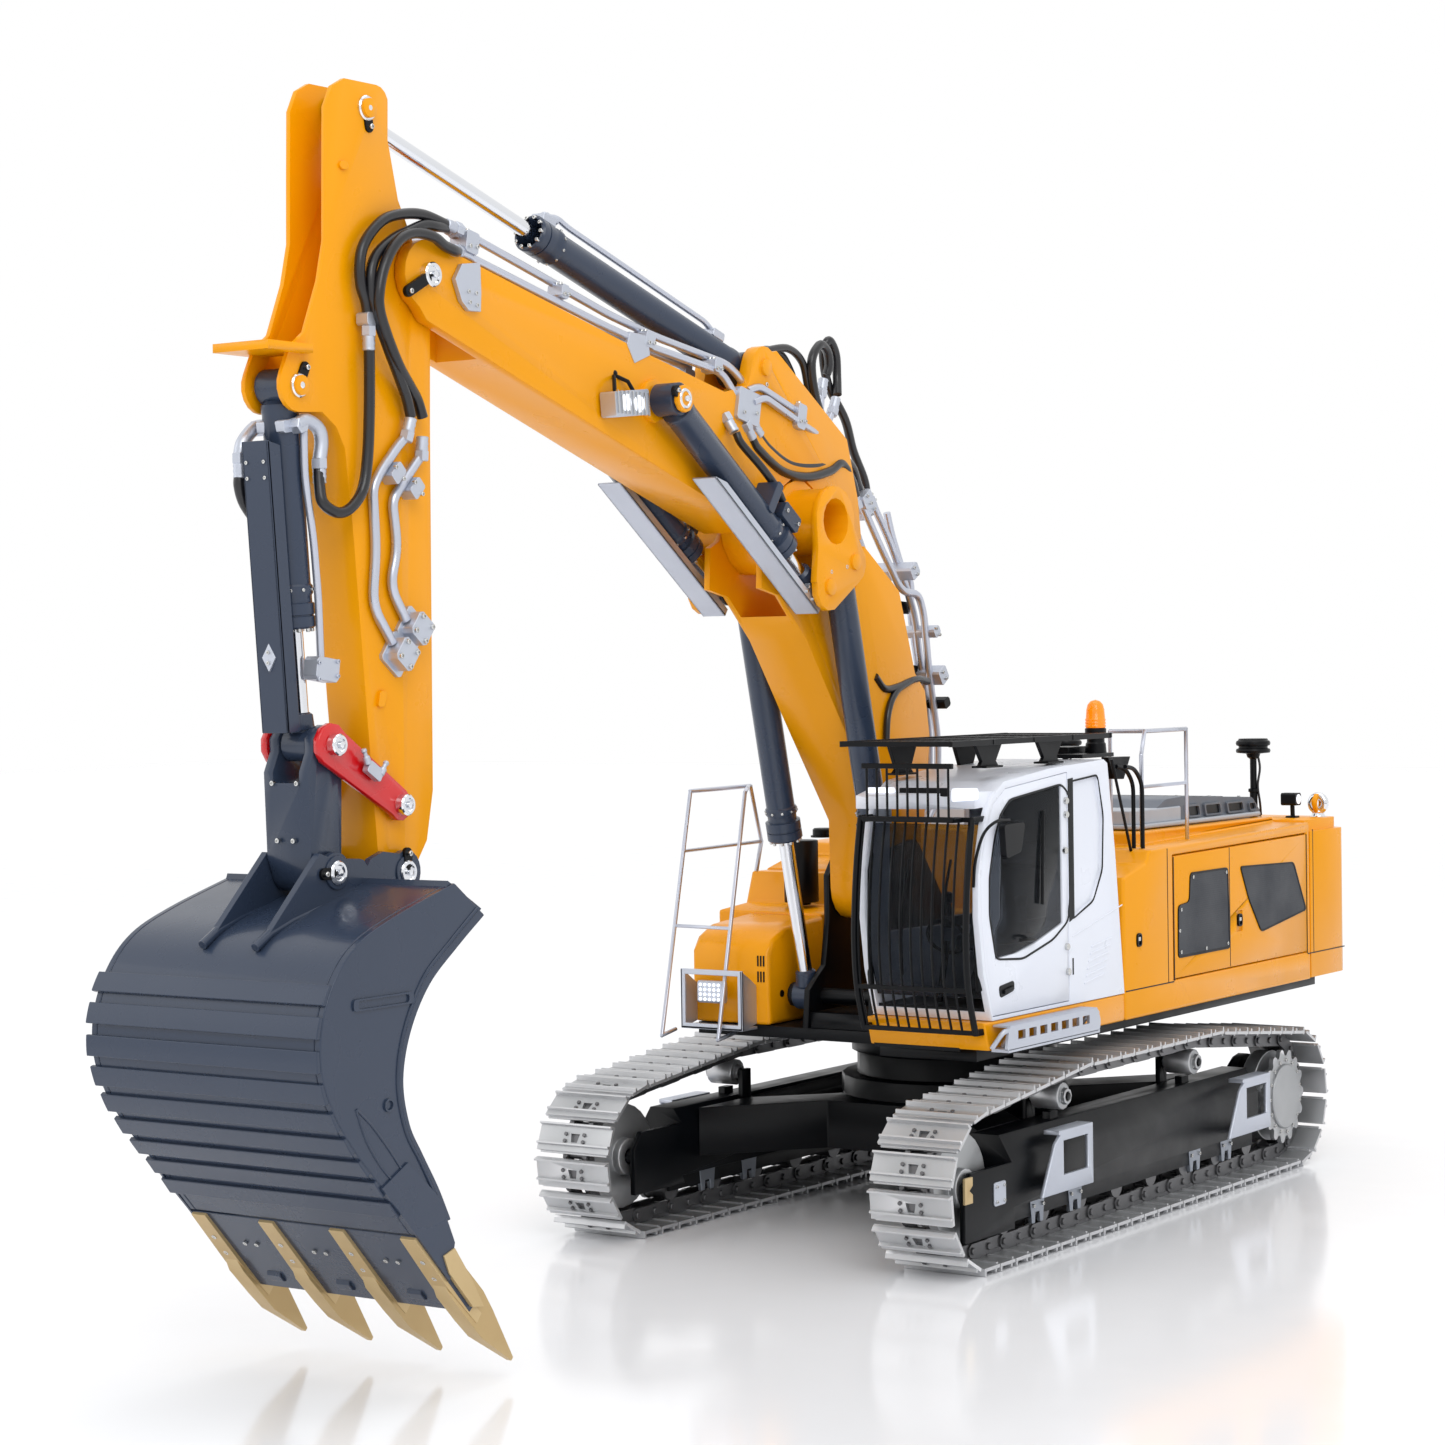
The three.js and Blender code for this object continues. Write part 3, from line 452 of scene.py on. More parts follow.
# ---------------------------------------------------------------- CAD nodes that keep their shape
DRESSED = {
    YELLOW: ["lower_boom", "upper_boom", "stick", "right_tank", "tool_box", "cab_base", "side_door"],
    BLACK: ["track_frame_left", "track_frame_right", "centre_frame", "slew_ring", "deck", "boom_bracket",
        "front_guard", "roof_guard"],
    WHITE: ["cab_shell", "cab_door"],
    GLASS: ["door_glass", "windscreen"],
    SILVER: [f"step_{side}_{end}" for side in ("left", "right") for end in ("front", "rear")],
    RED: ["rocker"],
    SLATE: ["link"],
    STEEL: ["idler_left", "idler_right"] + [f"carrier_{side}_{end}" for side in ("left", "right")
        for end in ("front", "rear")]}
EDGES = {"lower_boom": 0.7, "upper_boom": 0.7, "stick": 0.7, "tool_box": 2.2, "cab_shell": 1.0, "cab_base": 1.0,
    "front_guard": 0.15, "roof_guard": 0.2, "link": 0.9, "right_tank": 1.6, "door_glass": 0.15, "windscreen": 0.2,
    "deck": 0.8}
for finish, names in DRESSED.items():
    for node in names:
        dress(node, finish, EDGES.get(node, 0.5))


# ---------------------------------------------------------------- tracks
def belt(count):
    """Places at equal steps along the chain: (y, z, outward y, outward z)."""
    wheel, roller = WHEEL_TIP - PITCH_LINE, CARRIER_R + CHAIN - PITCH_LINE
    circles = [(*IDLER, wheel), (-CARRIER_Y, CARRIER_Z, roller), (CARRIER_Y, CARRIER_Z, roller), (*SPROCKET, wheel)]
    normals = []
    for c, d in zip(circles, circles[1:] + circles[:1]):
        length = span(c[:2], d[:2])
        u = ((d[0] - c[0]) / length, (d[1] - c[1]) / length)
        k = (c[2] - d[2]) / length
        h = math.sqrt(1 - k * k)
        normals.append((u[0] * k - u[1] * h, u[1] * k + u[0] * h))
    dense = []
    for i, c in enumerate(circles):
        before = normals[i - 1]
        start, end = math.atan2(before[1], before[0]), math.atan2(normals[i][1], normals[i][0])
        while end > start:
            end -= 2 * math.pi
        steps = max(1, round((start - end) / 0.02))
        for k in range(steps + 1):
            t = start + (end - start) * k / steps
            dense.append((c[0] + c[2] * math.cos(t), c[1] + c[2] * math.sin(t), math.cos(t), math.sin(t)))
    dense.append(dense[0])
    lengths = [0.0]
    for p, q in zip(dense, dense[1:]):
        lengths.append(lengths[-1] + span(p[:2], q[:2]))
    out, k = [], 1
    for i in range(count):
        s = lengths[-1] * i / count
        while lengths[k] < s:
            k += 1
        f = (s - lengths[k - 1]) / (lengths[k] - lengths[k - 1])
        out.append(tuple(a + (b - a) * f for a, b in zip(dense[k - 1], dense[k])))
    return out, lengths[-1] / count


def shoe_and_link(side, s, steps, pitch):
    """One track: shoes with two grousers and a mud hole, and a chain of side links and pins."""
    shoes, chain, bolts = Shape(), Shape(), Shape()
    centre = s * GAUGE / 2
    half, deep = pitch / 2 - 0.35, SHOE / 2
    for i, (y, z, ny, nz) in enumerate(steps):
        size = math.hypot(ny, nz)
        out_y, out_z = ny / size, nz / size
        matrix = Matrix(((1, 0, 0, centre), (0, -out_z, out_y, y), (0, out_y, out_z, z), (0, 0, 0, 1)))
        first = len(shoes.mesh.verts)
        hole = [(-2.6, -1.9), (2.6, -1.9), (1.7, 2.3), (-1.7, 2.3)]
        plate = oblong(-deep, deep, -half, half)
        shoes.prism(plate, "z", 4.3, 5.9, [hole])
        for t, top in ((-half + 0.9, 8.0), (half - 3.4, 7.4)):
            shoes.prism([(t - 0.9, 5.6), (t + 0.9, 5.6), (t + 0.45, top), (t - 0.45, top)], "x", -deep, deep)
        shoes.box(-deep + 1.5, deep - 1.5, half - 0.6, half + 0.9, 3.6, 4.5)
        shoes.turned(matrix, first)
        first = len(bolts.mesh.verts)
        for u, v in ((-5.4, -1.6), (5.4, -1.6), (-5.4, 1.8), (5.4, 1.8)):
            bolts.hexagon((u, v, 5.6), (u, v, 6.7), 1.05)
        bolts.turned(matrix, first)
        first = len(chain.mesh.verts)
        for k in (-1, 1):
            x = k * (5.2 + 0.9 * (i % 2))
            link = arc((-pitch / 2, 0), 3.3, 90, 270, 7) + arc((pitch / 2, 0), 3.3, -90, 90, 7)
            chain.prism(link, "x", x - 0.85, x + 0.85)
        chain.box(-6.4, 6.4, -half + 1.2, half - 1.2, 2.4, 4.6)
        chain.rod((-8, pitch / 2, 0), (8, pitch / 2, 0), 1.7, 12)
        chain.turned(matrix, first)
    shoes.make(f"track_shoes_{side}", "undercarriage", STEEL, 0.12, replaces=[f"track_{side}"])
    bolts.make(f"track_bolts_{side}", "undercarriage", DARKSTEEL)
    chain.make(f"track_chain_{side}", "undercarriage", DARKSTEEL)


steps, pitch = belt(SHOES)
for side, s in SIDES:
    shoe_and_link(side, s, steps, pitch)


def drive_wheel(side, s):
    """The sprocket: a toothed disc outside with a bolt ring, and the drum under the chain."""
    disc, bolts = Shape(), Shape()
    c, tread, count = GAUGE / 2, WHEEL_TIP - CHAIN - 1.2, SPROCKET_TEETH
    teeth = []
    for t in round_turn(count):
        for k, r in ((-0.16, tread - 3.4), (-0.09, tread - 1), (-0.04, tread), (0.04, tread), (0.09, tread - 1),
                (0.16, tread - 3.4)):
            teeth.append((SPROCKET[0] + r * math.cos(t + k), SPROCKET[1] + r * math.sin(t + k)))
    disc.prism(teeth, "x", *sorted((s * (c + 9.4), s * (c + 12))))
    disc.rod((s * (c + 11), *SPROCKET), (s * (c + 13.6), *SPROCKET), 17.5, 48, 0.6)
    disc.rod((s * (c - 4), *SPROCKET), (s * (c + 4), *SPROCKET), tread - 1, 48)
    disc.rod((s * (c + 3), *SPROCKET), (s * (c + 10), *SPROCKET), 15, 40)
    for t in round_turn(count, 0.5):
        y, z = SPROCKET[0] + 19.6 * math.cos(t), SPROCKET[1] + 19.6 * math.sin(t)
        bolts.bolt((s * (c + 12), y, z), (s, 0, 0), 1.9, 1.0)
    disc.make(f"sprocket_{side}_disc", f"sprocket_{side}", STEEL, 0.2, replaces=[f"sprocket_{side}"])
    bolts.make(f"sprocket_{side}_bolts", f"sprocket_{side}", BOLT)


for side, s in SIDES:
    drive_wheel(side, s)


# ---------------------------------------------------------------- small hardware used all over
def place(x, point):
    return (x, point[0], point[1])


def hose(name, points, body=None, joint=None, r=2.2, finish=RUBBER, soft=True):
    """A hose or pipe through (x, y, z) points; joint is (body, next body, start, end) where it crosses one. The
    joint's values are not used, only whether it is given.
    """
    shape = Shape()
    shape.tube(smooth(points) if soft else bent(points), r, 12)
    made = shape.make(name, body, finish)
    if joint:
        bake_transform(made)
    return made


def fitting(shape, at, towards, r=3.0):
    """A crimped sleeve and a hexagon nut where a hose or pipe ends."""
    a = Vector(at)
    d = (Vector(towards) - a).normalized()
    shape.hexagon(a - d * 1.5, a + d * 2.6, r)
    shape.turn(a + d * 2.4, a + d * 9, [(0, r * 0.78), (1, r * 0.86), (2, r * 0.78), (3, r * 0.86), (4, r * 0.78),
        (5.4, r * 0.84), (5.8, r * 0.7)], 16)


def block(shape, centre, size, tilt=0.0, chamfer=0.6):
    """A box of size (across, along, up) about a point, tipped about the x axis by tilt degrees."""
    first = len(shape.mesh.verts)
    w, l, h = (v / 2 for v in size)
    c = chamfer
    outline = [(-l + c, -h), (l - c, -h), (l, -h + c), (l, h - c), (l - c, h), (-l + c, h), (-l, h - c), (-l, -h + c)]
    shape.prism(outline, "x", -w, w)
    shape.turned(Matrix.Translation(centre) @ Matrix.Rotation(math.radians(tilt), 4, "X"), first)


def pin(name, body, centre, x, r=3.9, retainer=None):
    """The ends of a joint pin: turned heads, and a black keeper bar with its bolt."""
    heads, keepers, screws = Shape(), Shape(), Shape()
    for s in (1, -1):
        heads.turn(place(s * (x - 1.5), centre), place(s * (x + 4), centre), [(0, r + 0.8), (2.9, r + 0.8), (3.4,
            r + 0.3), (3.4, r - 0.7), (2.7, r - 1.1), (2.7, 1.5), (4.3, 1.3), (4.6, 0.9)], 36)
        if retainer:
            length = span(centre, retainer)
            u = ((retainer[0] - centre[0]) / length, (retainer[1] - centre[1]) / length)
            turn = math.degrees(math.atan2(u[1], u[0]))
            near = (centre[0] + u[0] * (r - 0.4), centre[1] + u[1] * (r - 0.4))
            outline = arc(retainer, 2.3, turn - 90, turn + 90, 8) + arc(near, 2.3, turn + 90, turn + 270, 8)
            keepers.prism(outline, "x", *sorted((s * (x - 0.4), s * (x + 1.5))))
            screws.bolt(place(s * (x + 1.5), retainer), (s, 0, 0), 2.2, 1.4)
    heads.make(f"pin_{name}", body, CHROME)
    if retainer:
        keepers.make(f"pin_{name}_keeper", body, BLACK, 0.3)
        screws.make(f"pin_{name}_screw", body, BOLT)


def cylinder(name, x, ends, bodies, length, r, bore, collar, eyes, half, rod_r, rod_from):
    """A hydraulic cylinder: barrel with a bolted gland on one body, plated rod with an eye on the other."""
    start, end = ends
    reach = span(start, end)
    spot = lambda a, b=0.0, side=0.0: place(x + side, along(start, end, a, b))
    barrel = Shape()
    barrel.ring((x - half, *start), (x + half, *start), eyes[0], PIN_BORE, 36)
    base = eyes[0] * 0.72
    L = length - base
    barrel.turn(spot(base), spot(reach), [(0, r * 0.75), (1.6, r + 0.3), (4.4, r + 0.3), (5, r), (L - 17, r),
        (L - 16.2, r + 0.7), (L - 13.4, r + 0.7), (L - 12.6, r + 0.1), (L - 10, r + 0.1), (L - 9.6, r + collar),
        (L - 5.4, r + collar), (L - 5.2, r + collar - 0.5), (L - 4.8, r + collar - 0.5), (L - 4.6, r + collar),
        (L - 0.8, r + collar), (L, r + collar - 0.8), (L, bore + 0.2), (L - 0.6, bore), (6, bore)], 40)
    barrel.make(f"{name}_tube", bodies[0], SLATE, replaces=[bodies[0]])
    bolts = Shape()
    u = ((end[0] - start[0]) / reach, (end[1] - start[1]) / reach)
    for t in round_turn(10, 0.5):
        c, q = math.cos(t) * (r + collar - 1.5), math.sin(t) * (r + collar - 1.5)
        bolts.bolt(spot(length, c, q), (0, *u), 1.7, 1.3)
    for t in round_turn(10):
        c, q = math.cos(t), math.sin(t)
        bolts.bolt(spot(length - 14.8, c * (r + 0.7), q * (r + 0.7)), (q, -u[1] * c, u[0] * c), 1.3, 0.7)
    bolts.make(f"{name}_bolts", bodies[0], BOLT)
    rod = Shape()
    rod.turn(spot(rod_from), spot(reach), [(0, rod_r), (reach - rod_from - eyes[1] * 0.8, rod_r)], 32)
    rod.make(f"{name}_rod", bodies[1], CHROME, replaces=[bodies[1]])
    eye = Shape()
    eye.ring((x - half, *end), (x + half, *end), eyes[1], PIN_BORE, 36)
    eye.turn(spot(reach - eyes[1] - 6), spot(reach), [(0, rod_r + 0.3), (1, rod_r + 1.5), (5, rod_r + 1.8), (7.4,
        rod_r + 2.3)], 28)
    eye.make(f"{name}_eye", bodies[1], SLATE)


for side, s in SIDES:
    cylinder(f"boom_cylinder_{side}", s * CYL_X, (BOOM_CYL[1], BOOM_CYL[0]), (f"boom_barrel_{side}",
        f"boom_rod_{side}"), 137, 7, 5.8, 1.6, (7.2, 7.2), 5.8, 3.6, 92)
    cylinder(f"adjust_cylinder_{side}", s * CYL_X, ADJ_CYL, (f"adjust_barrel_{side}", f"adjust_rod_{side}"), 108,
        7, 5.8, 1.2, (7.2, 7.2), 5.8, 3.6, 93)
cylinder("stick_cylinder", 0, STICK_CYL, ("stick_barrel", "stick_rod"), 162, 7.3, 6.4, 0.9, (8, 7.2), 6.6, 3.4, 128)
cylinder("bucket_cylinder", 0, (BUCKET_CYL, LEVER_END), ("bucket_barrel", "bucket_rod"), 92, 7, 6.3, 0.8, (7, 6.4),
    6.2, 2.8, 68)

# Ports on the barrels, with their fittings
ports, nuts = Shape(), Shape()
for a in (154, 22):
    block(ports, place(0, along(*STICK_CYL, a, -8.6)), (7, 9, 4), -16.8)
fitting(nuts, place(0, along(*STICK_CYL, 154, -10)), place(0, along(*STICK_CYL, 140, -14)), 2.6)
ports.make("stick_cylinder_ports", "stick_barrel", SILVER, 0.4)
nuts.make("stick_cylinder_nuts", "stick_barrel", SILVER)
hose("stick_cylinder_pipe", [place(0, along(*STICK_CYL, a, b)) for a, b in ((152, -11), (146, -13.5), (138, -12.5),
    (30, -12), (23, -10), (20, -6))], "stick_barrel", r=1.4, finish=TUBE, soft=False)

# Guards over the rods: a folded aluminium gutter on each adjusting rod, a slate channel on the bucket rod
for side, s in SIDES:
    shape, screws = Shape(), Shape()
    x, reach = s * CYL_X, span(*ADJ_CYL)
    path = [along(*ADJ_CYL, a, b) for a, b in ((40, -12.2), (reach + 4, -12.2), (reach + 4, -11.2), (40, -11.2))]
    shape.prism(path, "x", x - 6.4, x + 6.4)
    for w in (-6.4, 5.4):
        wall = [along(*ADJ_CYL, a, b) for a, b in ((40, -12.2), (reach + 4, -12.2), (reach + 4, -8.2), (48, -8.2),
            (40, -11.4))]
        shape.prism(wall, "x", x + w, x + w + 1)
    end = [along(*ADJ_CYL, a, b) for a, b in ((reach - 9, -12), (reach - 4, -12), (reach - 4, -4), (reach - 9, -4))]
    shape.prism(end, "x", x - 5.6, x + 5.6)
    for a in (reach - 10, reach - 4):
        for b in (-9.6, -7):
            screws.bolt(place(x + s * 6.4, along(*ADJ_CYL, a, b)), (s, 0, 0), 1.5, 0.8)
    shape.make(f"adjust_guard_{side}", f"adjust_rod_{side}", SILVER, 0.25)
    screws.make(f"adjust_guard_{side}_screws", f"adjust_rod_{side}", BOLT)

shape, screws = Shape(), Shape()
reach = span(BUCKET_CYL, LEVER_END)
line = (BUCKET_CYL, LEVER_END)
shape.prism([along(*line, a, b) for a, b in ((20, -15.6), (reach - 6, -15.6), (reach - 6, -14.4), (20, -14.4))],
    "x", -6.6, 6.6)
for w in (-6.6, 5.6):
    shape.prism([along(*line, a, b) for a, b in ((20, -15.6), (reach - 6, -15.6), (reach - 6, -8.6), (22, -8.6))],
        "x", w, w + 1)
shape.prism([along(*line, a, b) for a, b in ((reach - 12, -15), (reach - 6, -15), (reach - 6, 1), (reach - 12,
    1))], "x", -4.6, 4.6)
for a in (28, 34):
    for x in (-4.4, 4.4):
        screws.bolt(place(x, along(*line, a, -15.6)), (0, -1, 0), 1.5, 0.8)
plate = Shape()
plate.prism([(x, along(*line, 103, 0)[1] + z) for x, z in ((-3.4, 0), (0, 5.4), (3.4, 0), (0, -5.4))], "y",
    along(*line, 103, -15.6)[0] - 0.7, along(*line, 103, -15.6)[0] + 0.4)
for z in (-2, 2):
    screws.bolt((0, along(*line, 103, -15.6)[0] - 0.7, along(*line, 103, 0)[1] + z), (0, -1, 0), 1.5, 0.7)
shape.make("bucket_rod_guard", "bucket_rod", SLATE, 0.3)
plate.make("bucket_rod_guard_plate", "bucket_rod", SILVER, 0.2)
screws.make("bucket_rod_guard_screws", "bucket_rod", BOLT)

# Bucket cylinder's elbows, pipe and port block
shape, nuts = Shape(), Shape()
block(shape, (0, -505.5, 369.5), (14, 10, 5), 8)
block(shape, (8.4, -493, 277), (7, 13, 9), -8, 1.4)
for x, y, z in ((8.4, -498.5, 279.6), (8.4, -488, 274.4), (8.4, -498.8, 273.4), (8.4, -487.8, 280)):
    nuts.bolt((x + 3.4, y, z), (1, 0, 0), 1.7, 1)
for x, points in ((9, [(-506, 369.5), (-500, 371.5), (-493.5, 369), (-491.6, 364), (-493, 356)]), (-10.8, [(-506.2,
        370), (-510, 367.3), (-514, 363.2), (-515.6, 358)])):
    shape.tube(smooth([(x, y, z) for y, z in points]), 2.7, 12)
    fitting(nuts, (x, *points[-1]), (x, points[-1][0], points[-1][1] - 10), 3.2)
    nuts.hexagon((x * 0.7, -504, 369.6), (x * 1.25, -504, 369.6), 3.4)
shape.make("bucket_cylinder_elbows", "bucket_barrel", SILVER, 0.3)
nuts.make("bucket_cylinder_nuts", "bucket_barrel", SILVER)
hose("bucket_cylinder_pipe", [(8.4, -500.8, 368), (8.6, -501.2, 351.7), (8.6, -496.6, 326.7), (8.6, -494.4, 304),
    (8.4, -493.4, 280)], "bucket_barrel", r=1.5, finish=TUBE, soft=False)

# ---------------------------------------------------------------- pins
pin("tip", "upper", TIP, 17.5, 4.2, retainer=(-449.6, 424.4))
pin("stick_rod", "arm", STICK_CYL[1], 9.4, 4.2, retainer=(-462.2, 487.6))
pin("stick_barrel", "upper", STICK_CYL[0], 13.6, retainer=(-191.8, 405.4))
pin("adjust_barrel", "upper", ADJ_CYL[0], 33, retainer=(-290.2, 395.2))
pin("adjust_rod", "boom", ADJ_CYL[1], 33.6, retainer=(-170.2, 319))
pin("boom_barrel", "boom", BOOM_CYL[1], 33.6, retainer=(-156.6, 321.6))
pin("boom_rod", "house", BOOM_CYL[0], 33.4, retainer=(-90, 110))
pin("bucket_cylinder", "arm", BUCKET_CYL, 9.6, retainer=(-501.8, 391.4))
pin("bucket", "shovel", BUCKET_PIN, 14.6, retainer=(-452.4, 204.6))
pin("link", "shovel", LINK_PIN, 14.6, retainer=(-501.4, 199.4))
pin("lever", "rocker", LEVER_PIN, 17, 3.4)
pin("lever_end", "rocker", LEVER_END, 17, 3.4)

# Grease fittings on the levers
shape = Shape()
block(shape, (17.6, -474.6, 237.6), (3, 9, 5), -32)
for at, towards in (((18, -478, 240.5), (18, -481, 247)), ((18, -471, 236), (18, -467, 241))):
    shape.turn(at, towards, [(0, 1.5), (3, 1.5), (3.4, 0.9), (5, 0.9), (5.4, 1.3), (6.4, 1)], 12)
shape.make("lever_grease_block", "rocker", SILVER, 0.3)

# Bolts on the link
shape = Shape()
for x, z in ((-6.2, 233.9), (6.2, 233.9), (-4, 212), (4, 212)):
    shape.bolt((x, -505.4, z), (0, -1, 0), 2.0, 1.0)
shape.make("link_bolts", "link", BOLT)


# ---------------------------------------------------------------- stick: hoses, pipes, blocks
TIP_JOINT = ("upper", "arm", (0, -425, 452), (0, -470, 425))
hose("stick_hose_long_top", [(14, -414, 452.5), (15, -423, 453.9), (15, -435.2, 455.9), (15, -446.4, 455.2), (15,
    -458.3, 452.2), (15, -466.8, 446.4), (15, -472.7, 439.3), (15, -474.6, 431.6), (15, -473.9, 424.1), (15,
    -470.8, 416.8), (15, -470, 404)], joint=TIP_JOINT)
hose("stick_hose_long", [(15, -470, 405.5), (15, -469.8, 400), (15, -470.3, 378.3), (15, -471.8, 359.1), (15, -475,
    346.2), (15, -482, 338.9), (14, -488.7, 336.8), (12, -494.6, 340.4), (10, -494.2, 347), (9, -493.4, 354)],
    joint=("arm", "bucket_barrel", (13, -482, 338), (9.4, -494, 349)))
hose("stick_hose_middle", [(10, -411, 452.6), (14, -420, 452.6), (16, -428.7, 452.1), (16, -436.5, 451.8), (16,
    -445.2, 448.7), (16, -455.5, 444.3), (16, -464.8, 437.9), (16.6, -469.6, 430.9), (17, -470.2, 422.2), (17.4,
    -469, 416.9), (17.4, -466.4, 410.7), (17, -460.8, 401.3), (16, -453.5, 391), (15, -447.7, 382.6), (14, -444.3,
    376)], joint=TIP_JOINT)
hose("stick_hose_near", [(14, -413, 444), (18, -420, 443.2), (19, -427.8, 444.3), (20, -435.6, 446.8), (20, -445.9,
    447.3), (20, -454.5, 444.8), (20, -461.3, 439.1), (20, -466.5, 431), (20, -469.2, 422.1), (19.6, -468.6, 415),
    (19, -463.5, 405.3), (17.6, -455.4, 395), (15.6, -447, 388.3), (14, -440.2, 382.7), (14, -437, 376)],
    joint=TIP_JOINT)
hose("bucket_hose_far", [(-10.8, -515.6, 352), (-10.8, -516.2, 347), (-11, -513, 340), (-11, -505, 333), (-11.6,
    -496, 332), (-13, -488, 336), (-14, -482, 346), (-14, -478, 360)], joint=("arm", "bucket_barrel", (-13, -486,
    338), (-9, -512, 344)))
shape = Shape()
for end, towards in (((13.4, -446.5, 367.6), (14, -443.6, 377)), ((13.4, -437.4, 360.4), (13.8, -437, 370)), ((15,
        -470, 408), (15, -470, 398))):
    fitting(shape, end, towards)
shape.make("stick_hose_nuts", "arm", SILVER)
shape = Shape()
for end, towards in (((15, -414, 452.5), (15, -423, 453.9)), ((10, -411, 452.6), (14, -420, 452.6)), ((14, -413,
        444), (18, -421, 443.4))):
    fitting(shape, end, towards)
shape.make("tip_hose_nuts", "upper", SILVER)
pipes = Shape()
for points in ([(13, -446.5, 368), (12.6, -451.4, 363.8), (12.5, -461.5, 353.6), (12.5, -466.3, 347.2), (12.5,
        -464.9, 323.7), (12.5, -467.5, 301.5), (12.5, -456, 287)], [(13, -437.3, 361), (12.6, -442.4, 355.8),
        (12.5, -449, 348.7), (12.5, -454.7, 342.7), (12.5, -451.9, 324), (12.5, -457, 309.2), (12.5, -447.5, 296)]):
    pipes.tube(bent(points, 7), 2.0, 14)
pipes.make("stick_pipes", "arm", TUBE)
shape, screws = Shape(), Shape()
for (y, z), tilt in (((-452, 282.6), -38), ((-442.6, 292.6), -38)):
    block(shape, (13.4, y, z), (8, 11, 11), tilt, 1.6)
    block(shape, (10.6, y, z), (2.4, 14, 14), tilt, 1.2)
    for a in (-1, 1):
        for b in (-1, 1):
            t = math.radians(tilt)
            dy, dz = 3.5 * a, 3.5 * b
            screws.bolt((17.4, y + dy * math.cos(t) - dz * math.sin(t), z + dy * math.sin(t) + dz * math.cos(t)),
                (1, 0, 0), 2.2, 1.2)
for y, z in ((-454.8, 353.3), (-443.5, 347.8)):
    block(shape, (13, y, z), (7, 6, 8), -45, 0.8)
    screws.bolt((16.4, y - 2.2, z + 2.2), (1, 0, 0), 1.8, 1)
    screws.bolt((16.4, y + 2.2, z - 2.2), (1, 0, 0), 1.8, 1)
block(shape, (14.4, -470.2, 412), (6, 6, 5), 0, 0.8)
shape.make("stick_port_blocks", "arm", SILVER, 0.3)
screws.make("stick_port_screws", "arm", BOLT)
shape = Shape()
shape.prism(oval((-478, 470.7), 5, 3.4), "x", 9.6, 11.2)
shape.prism(rounded([(-463.6, 262), (-459.6, 262), (-457.8, 268), (-462, 268.6)], 1.6), "x", 9.6, 11.4)
shape.make("stick_bosses", "arm", YELLOW, 0.3)

# ---------------------------------------------------------------- upper boom: pipes, manifolds, lamps
TILT = -11.5
pipes = Shape()
for points in ([(14.4, -412, 443.6), (14.4, -380, 436.5), (14.4, -316.4, 422.4), (14.4, -282.9, 416), (14.4, -226,
        408.6), (14.6, -215, 398)], [(10.4, -402, 452), (10.4, -360, 441.5), (10.4, -306.8, 428), (10.4, -272.9,
        421.4), (10.4, -214, 413), (12, -201, 402.6)], [(-10.4, -402, 452), (-10.4, -360, 441.5), (-10.4, -306.8,
        428), (-10.4, -272.9, 421.4), (-10.4, -216, 413)], [(-14.4, -402, 450), (-14.4, -360, 439.5), (-14.4,
        -306.8, 426), (-14.4, -272.9, 419.4), (-14.4, -218, 411)], [(16, -207.9, 401.4), (17, -199.9, 404), (16,
        -170, 395.6), (12, -143, 391), (6, -130, 398), (2, -123, 406)], [(17, -204.9, 396.3), (18, -196.8, 399),
        (17, -165, 389), (13, -140, 384), (4, -123, 390), (2, -113, 398)]):
    pipes.tube(bent(points, 8), 1.8, 14)
pipes.make("upper_boom_pipes", "upper", TUBE)
shape, screws = Shape(), Shape()
for (x, y, z), size in (((12.4, -407, 448), (9, 8, 9)), ((-12.4, -406, 449), (9, 8, 8)), ((12.6, -284, 418.6), (8,
        7, 7)), ((-12.6, -284, 418), (8, 7, 7)), ((12.6, -345, 434), (8, 5, 6)), ((-12.6, -345, 433), (8, 5, 6)),
        ((15, -209, 394), (6, 18, 15)), ((16.4, -166, 392), (5, 7, 12)), ((13, -232, 411), (8, 6, 6)), ((-12.6,
        -218, 409), (8, 8, 7))):
    block(shape, (x, y, z), size, TILT, 1)
    for k in (-1, 1):
        screws.bolt((x + size[0] / 2 - 3 if k > 0 else x - size[0] / 2 + 3, y, z + size[2] / 2), (0, 0.2, 1), 2, 1.2)
        screws.bolt((x + size[0] / 2, y + k * size[1] * 0.28, z - size[2] * 0.18), (1, 0, 0), 1.8, 1)
shape.prism([(-416, 438.4), (-404.4, 440), (-404, 428), (-404.5, 420.2), (-412, 420), (-416.4, 423.4), (-420.4,
    432)], "x", 16.2, 18.4)
for y, z in ((-412, 423.4), (-407.4, 422.6), (-412.6, 427.6), (-407.8, 427.4)):
    screws.bolt((18.4, y, z), (1, 0, 0), 1.7, 0.9)
shape.prism([(-301.4, 415.5), (-296, 407.6), (-284.5, 411.8), (-286, 420), (-299, 421)], "x", 14.6, 16.4)
for (x, y, z), towards in (((2, -123, 406), (2, -120, 415)), ((2, -113, 398), (2, -109, 406)), ((16, -226, 388.4),
        (21, -225, 380)), ((15, -203, 387), (15, -194, 380)), ((16, -210, 386), (16, -203, 378))):
    fitting(shape, (x, y, z), towards)
shape.make("upper_boom_blocks", "upper", SILVER, 0.3)
screws.make("upper_boom_screws", "upper", BOLT)


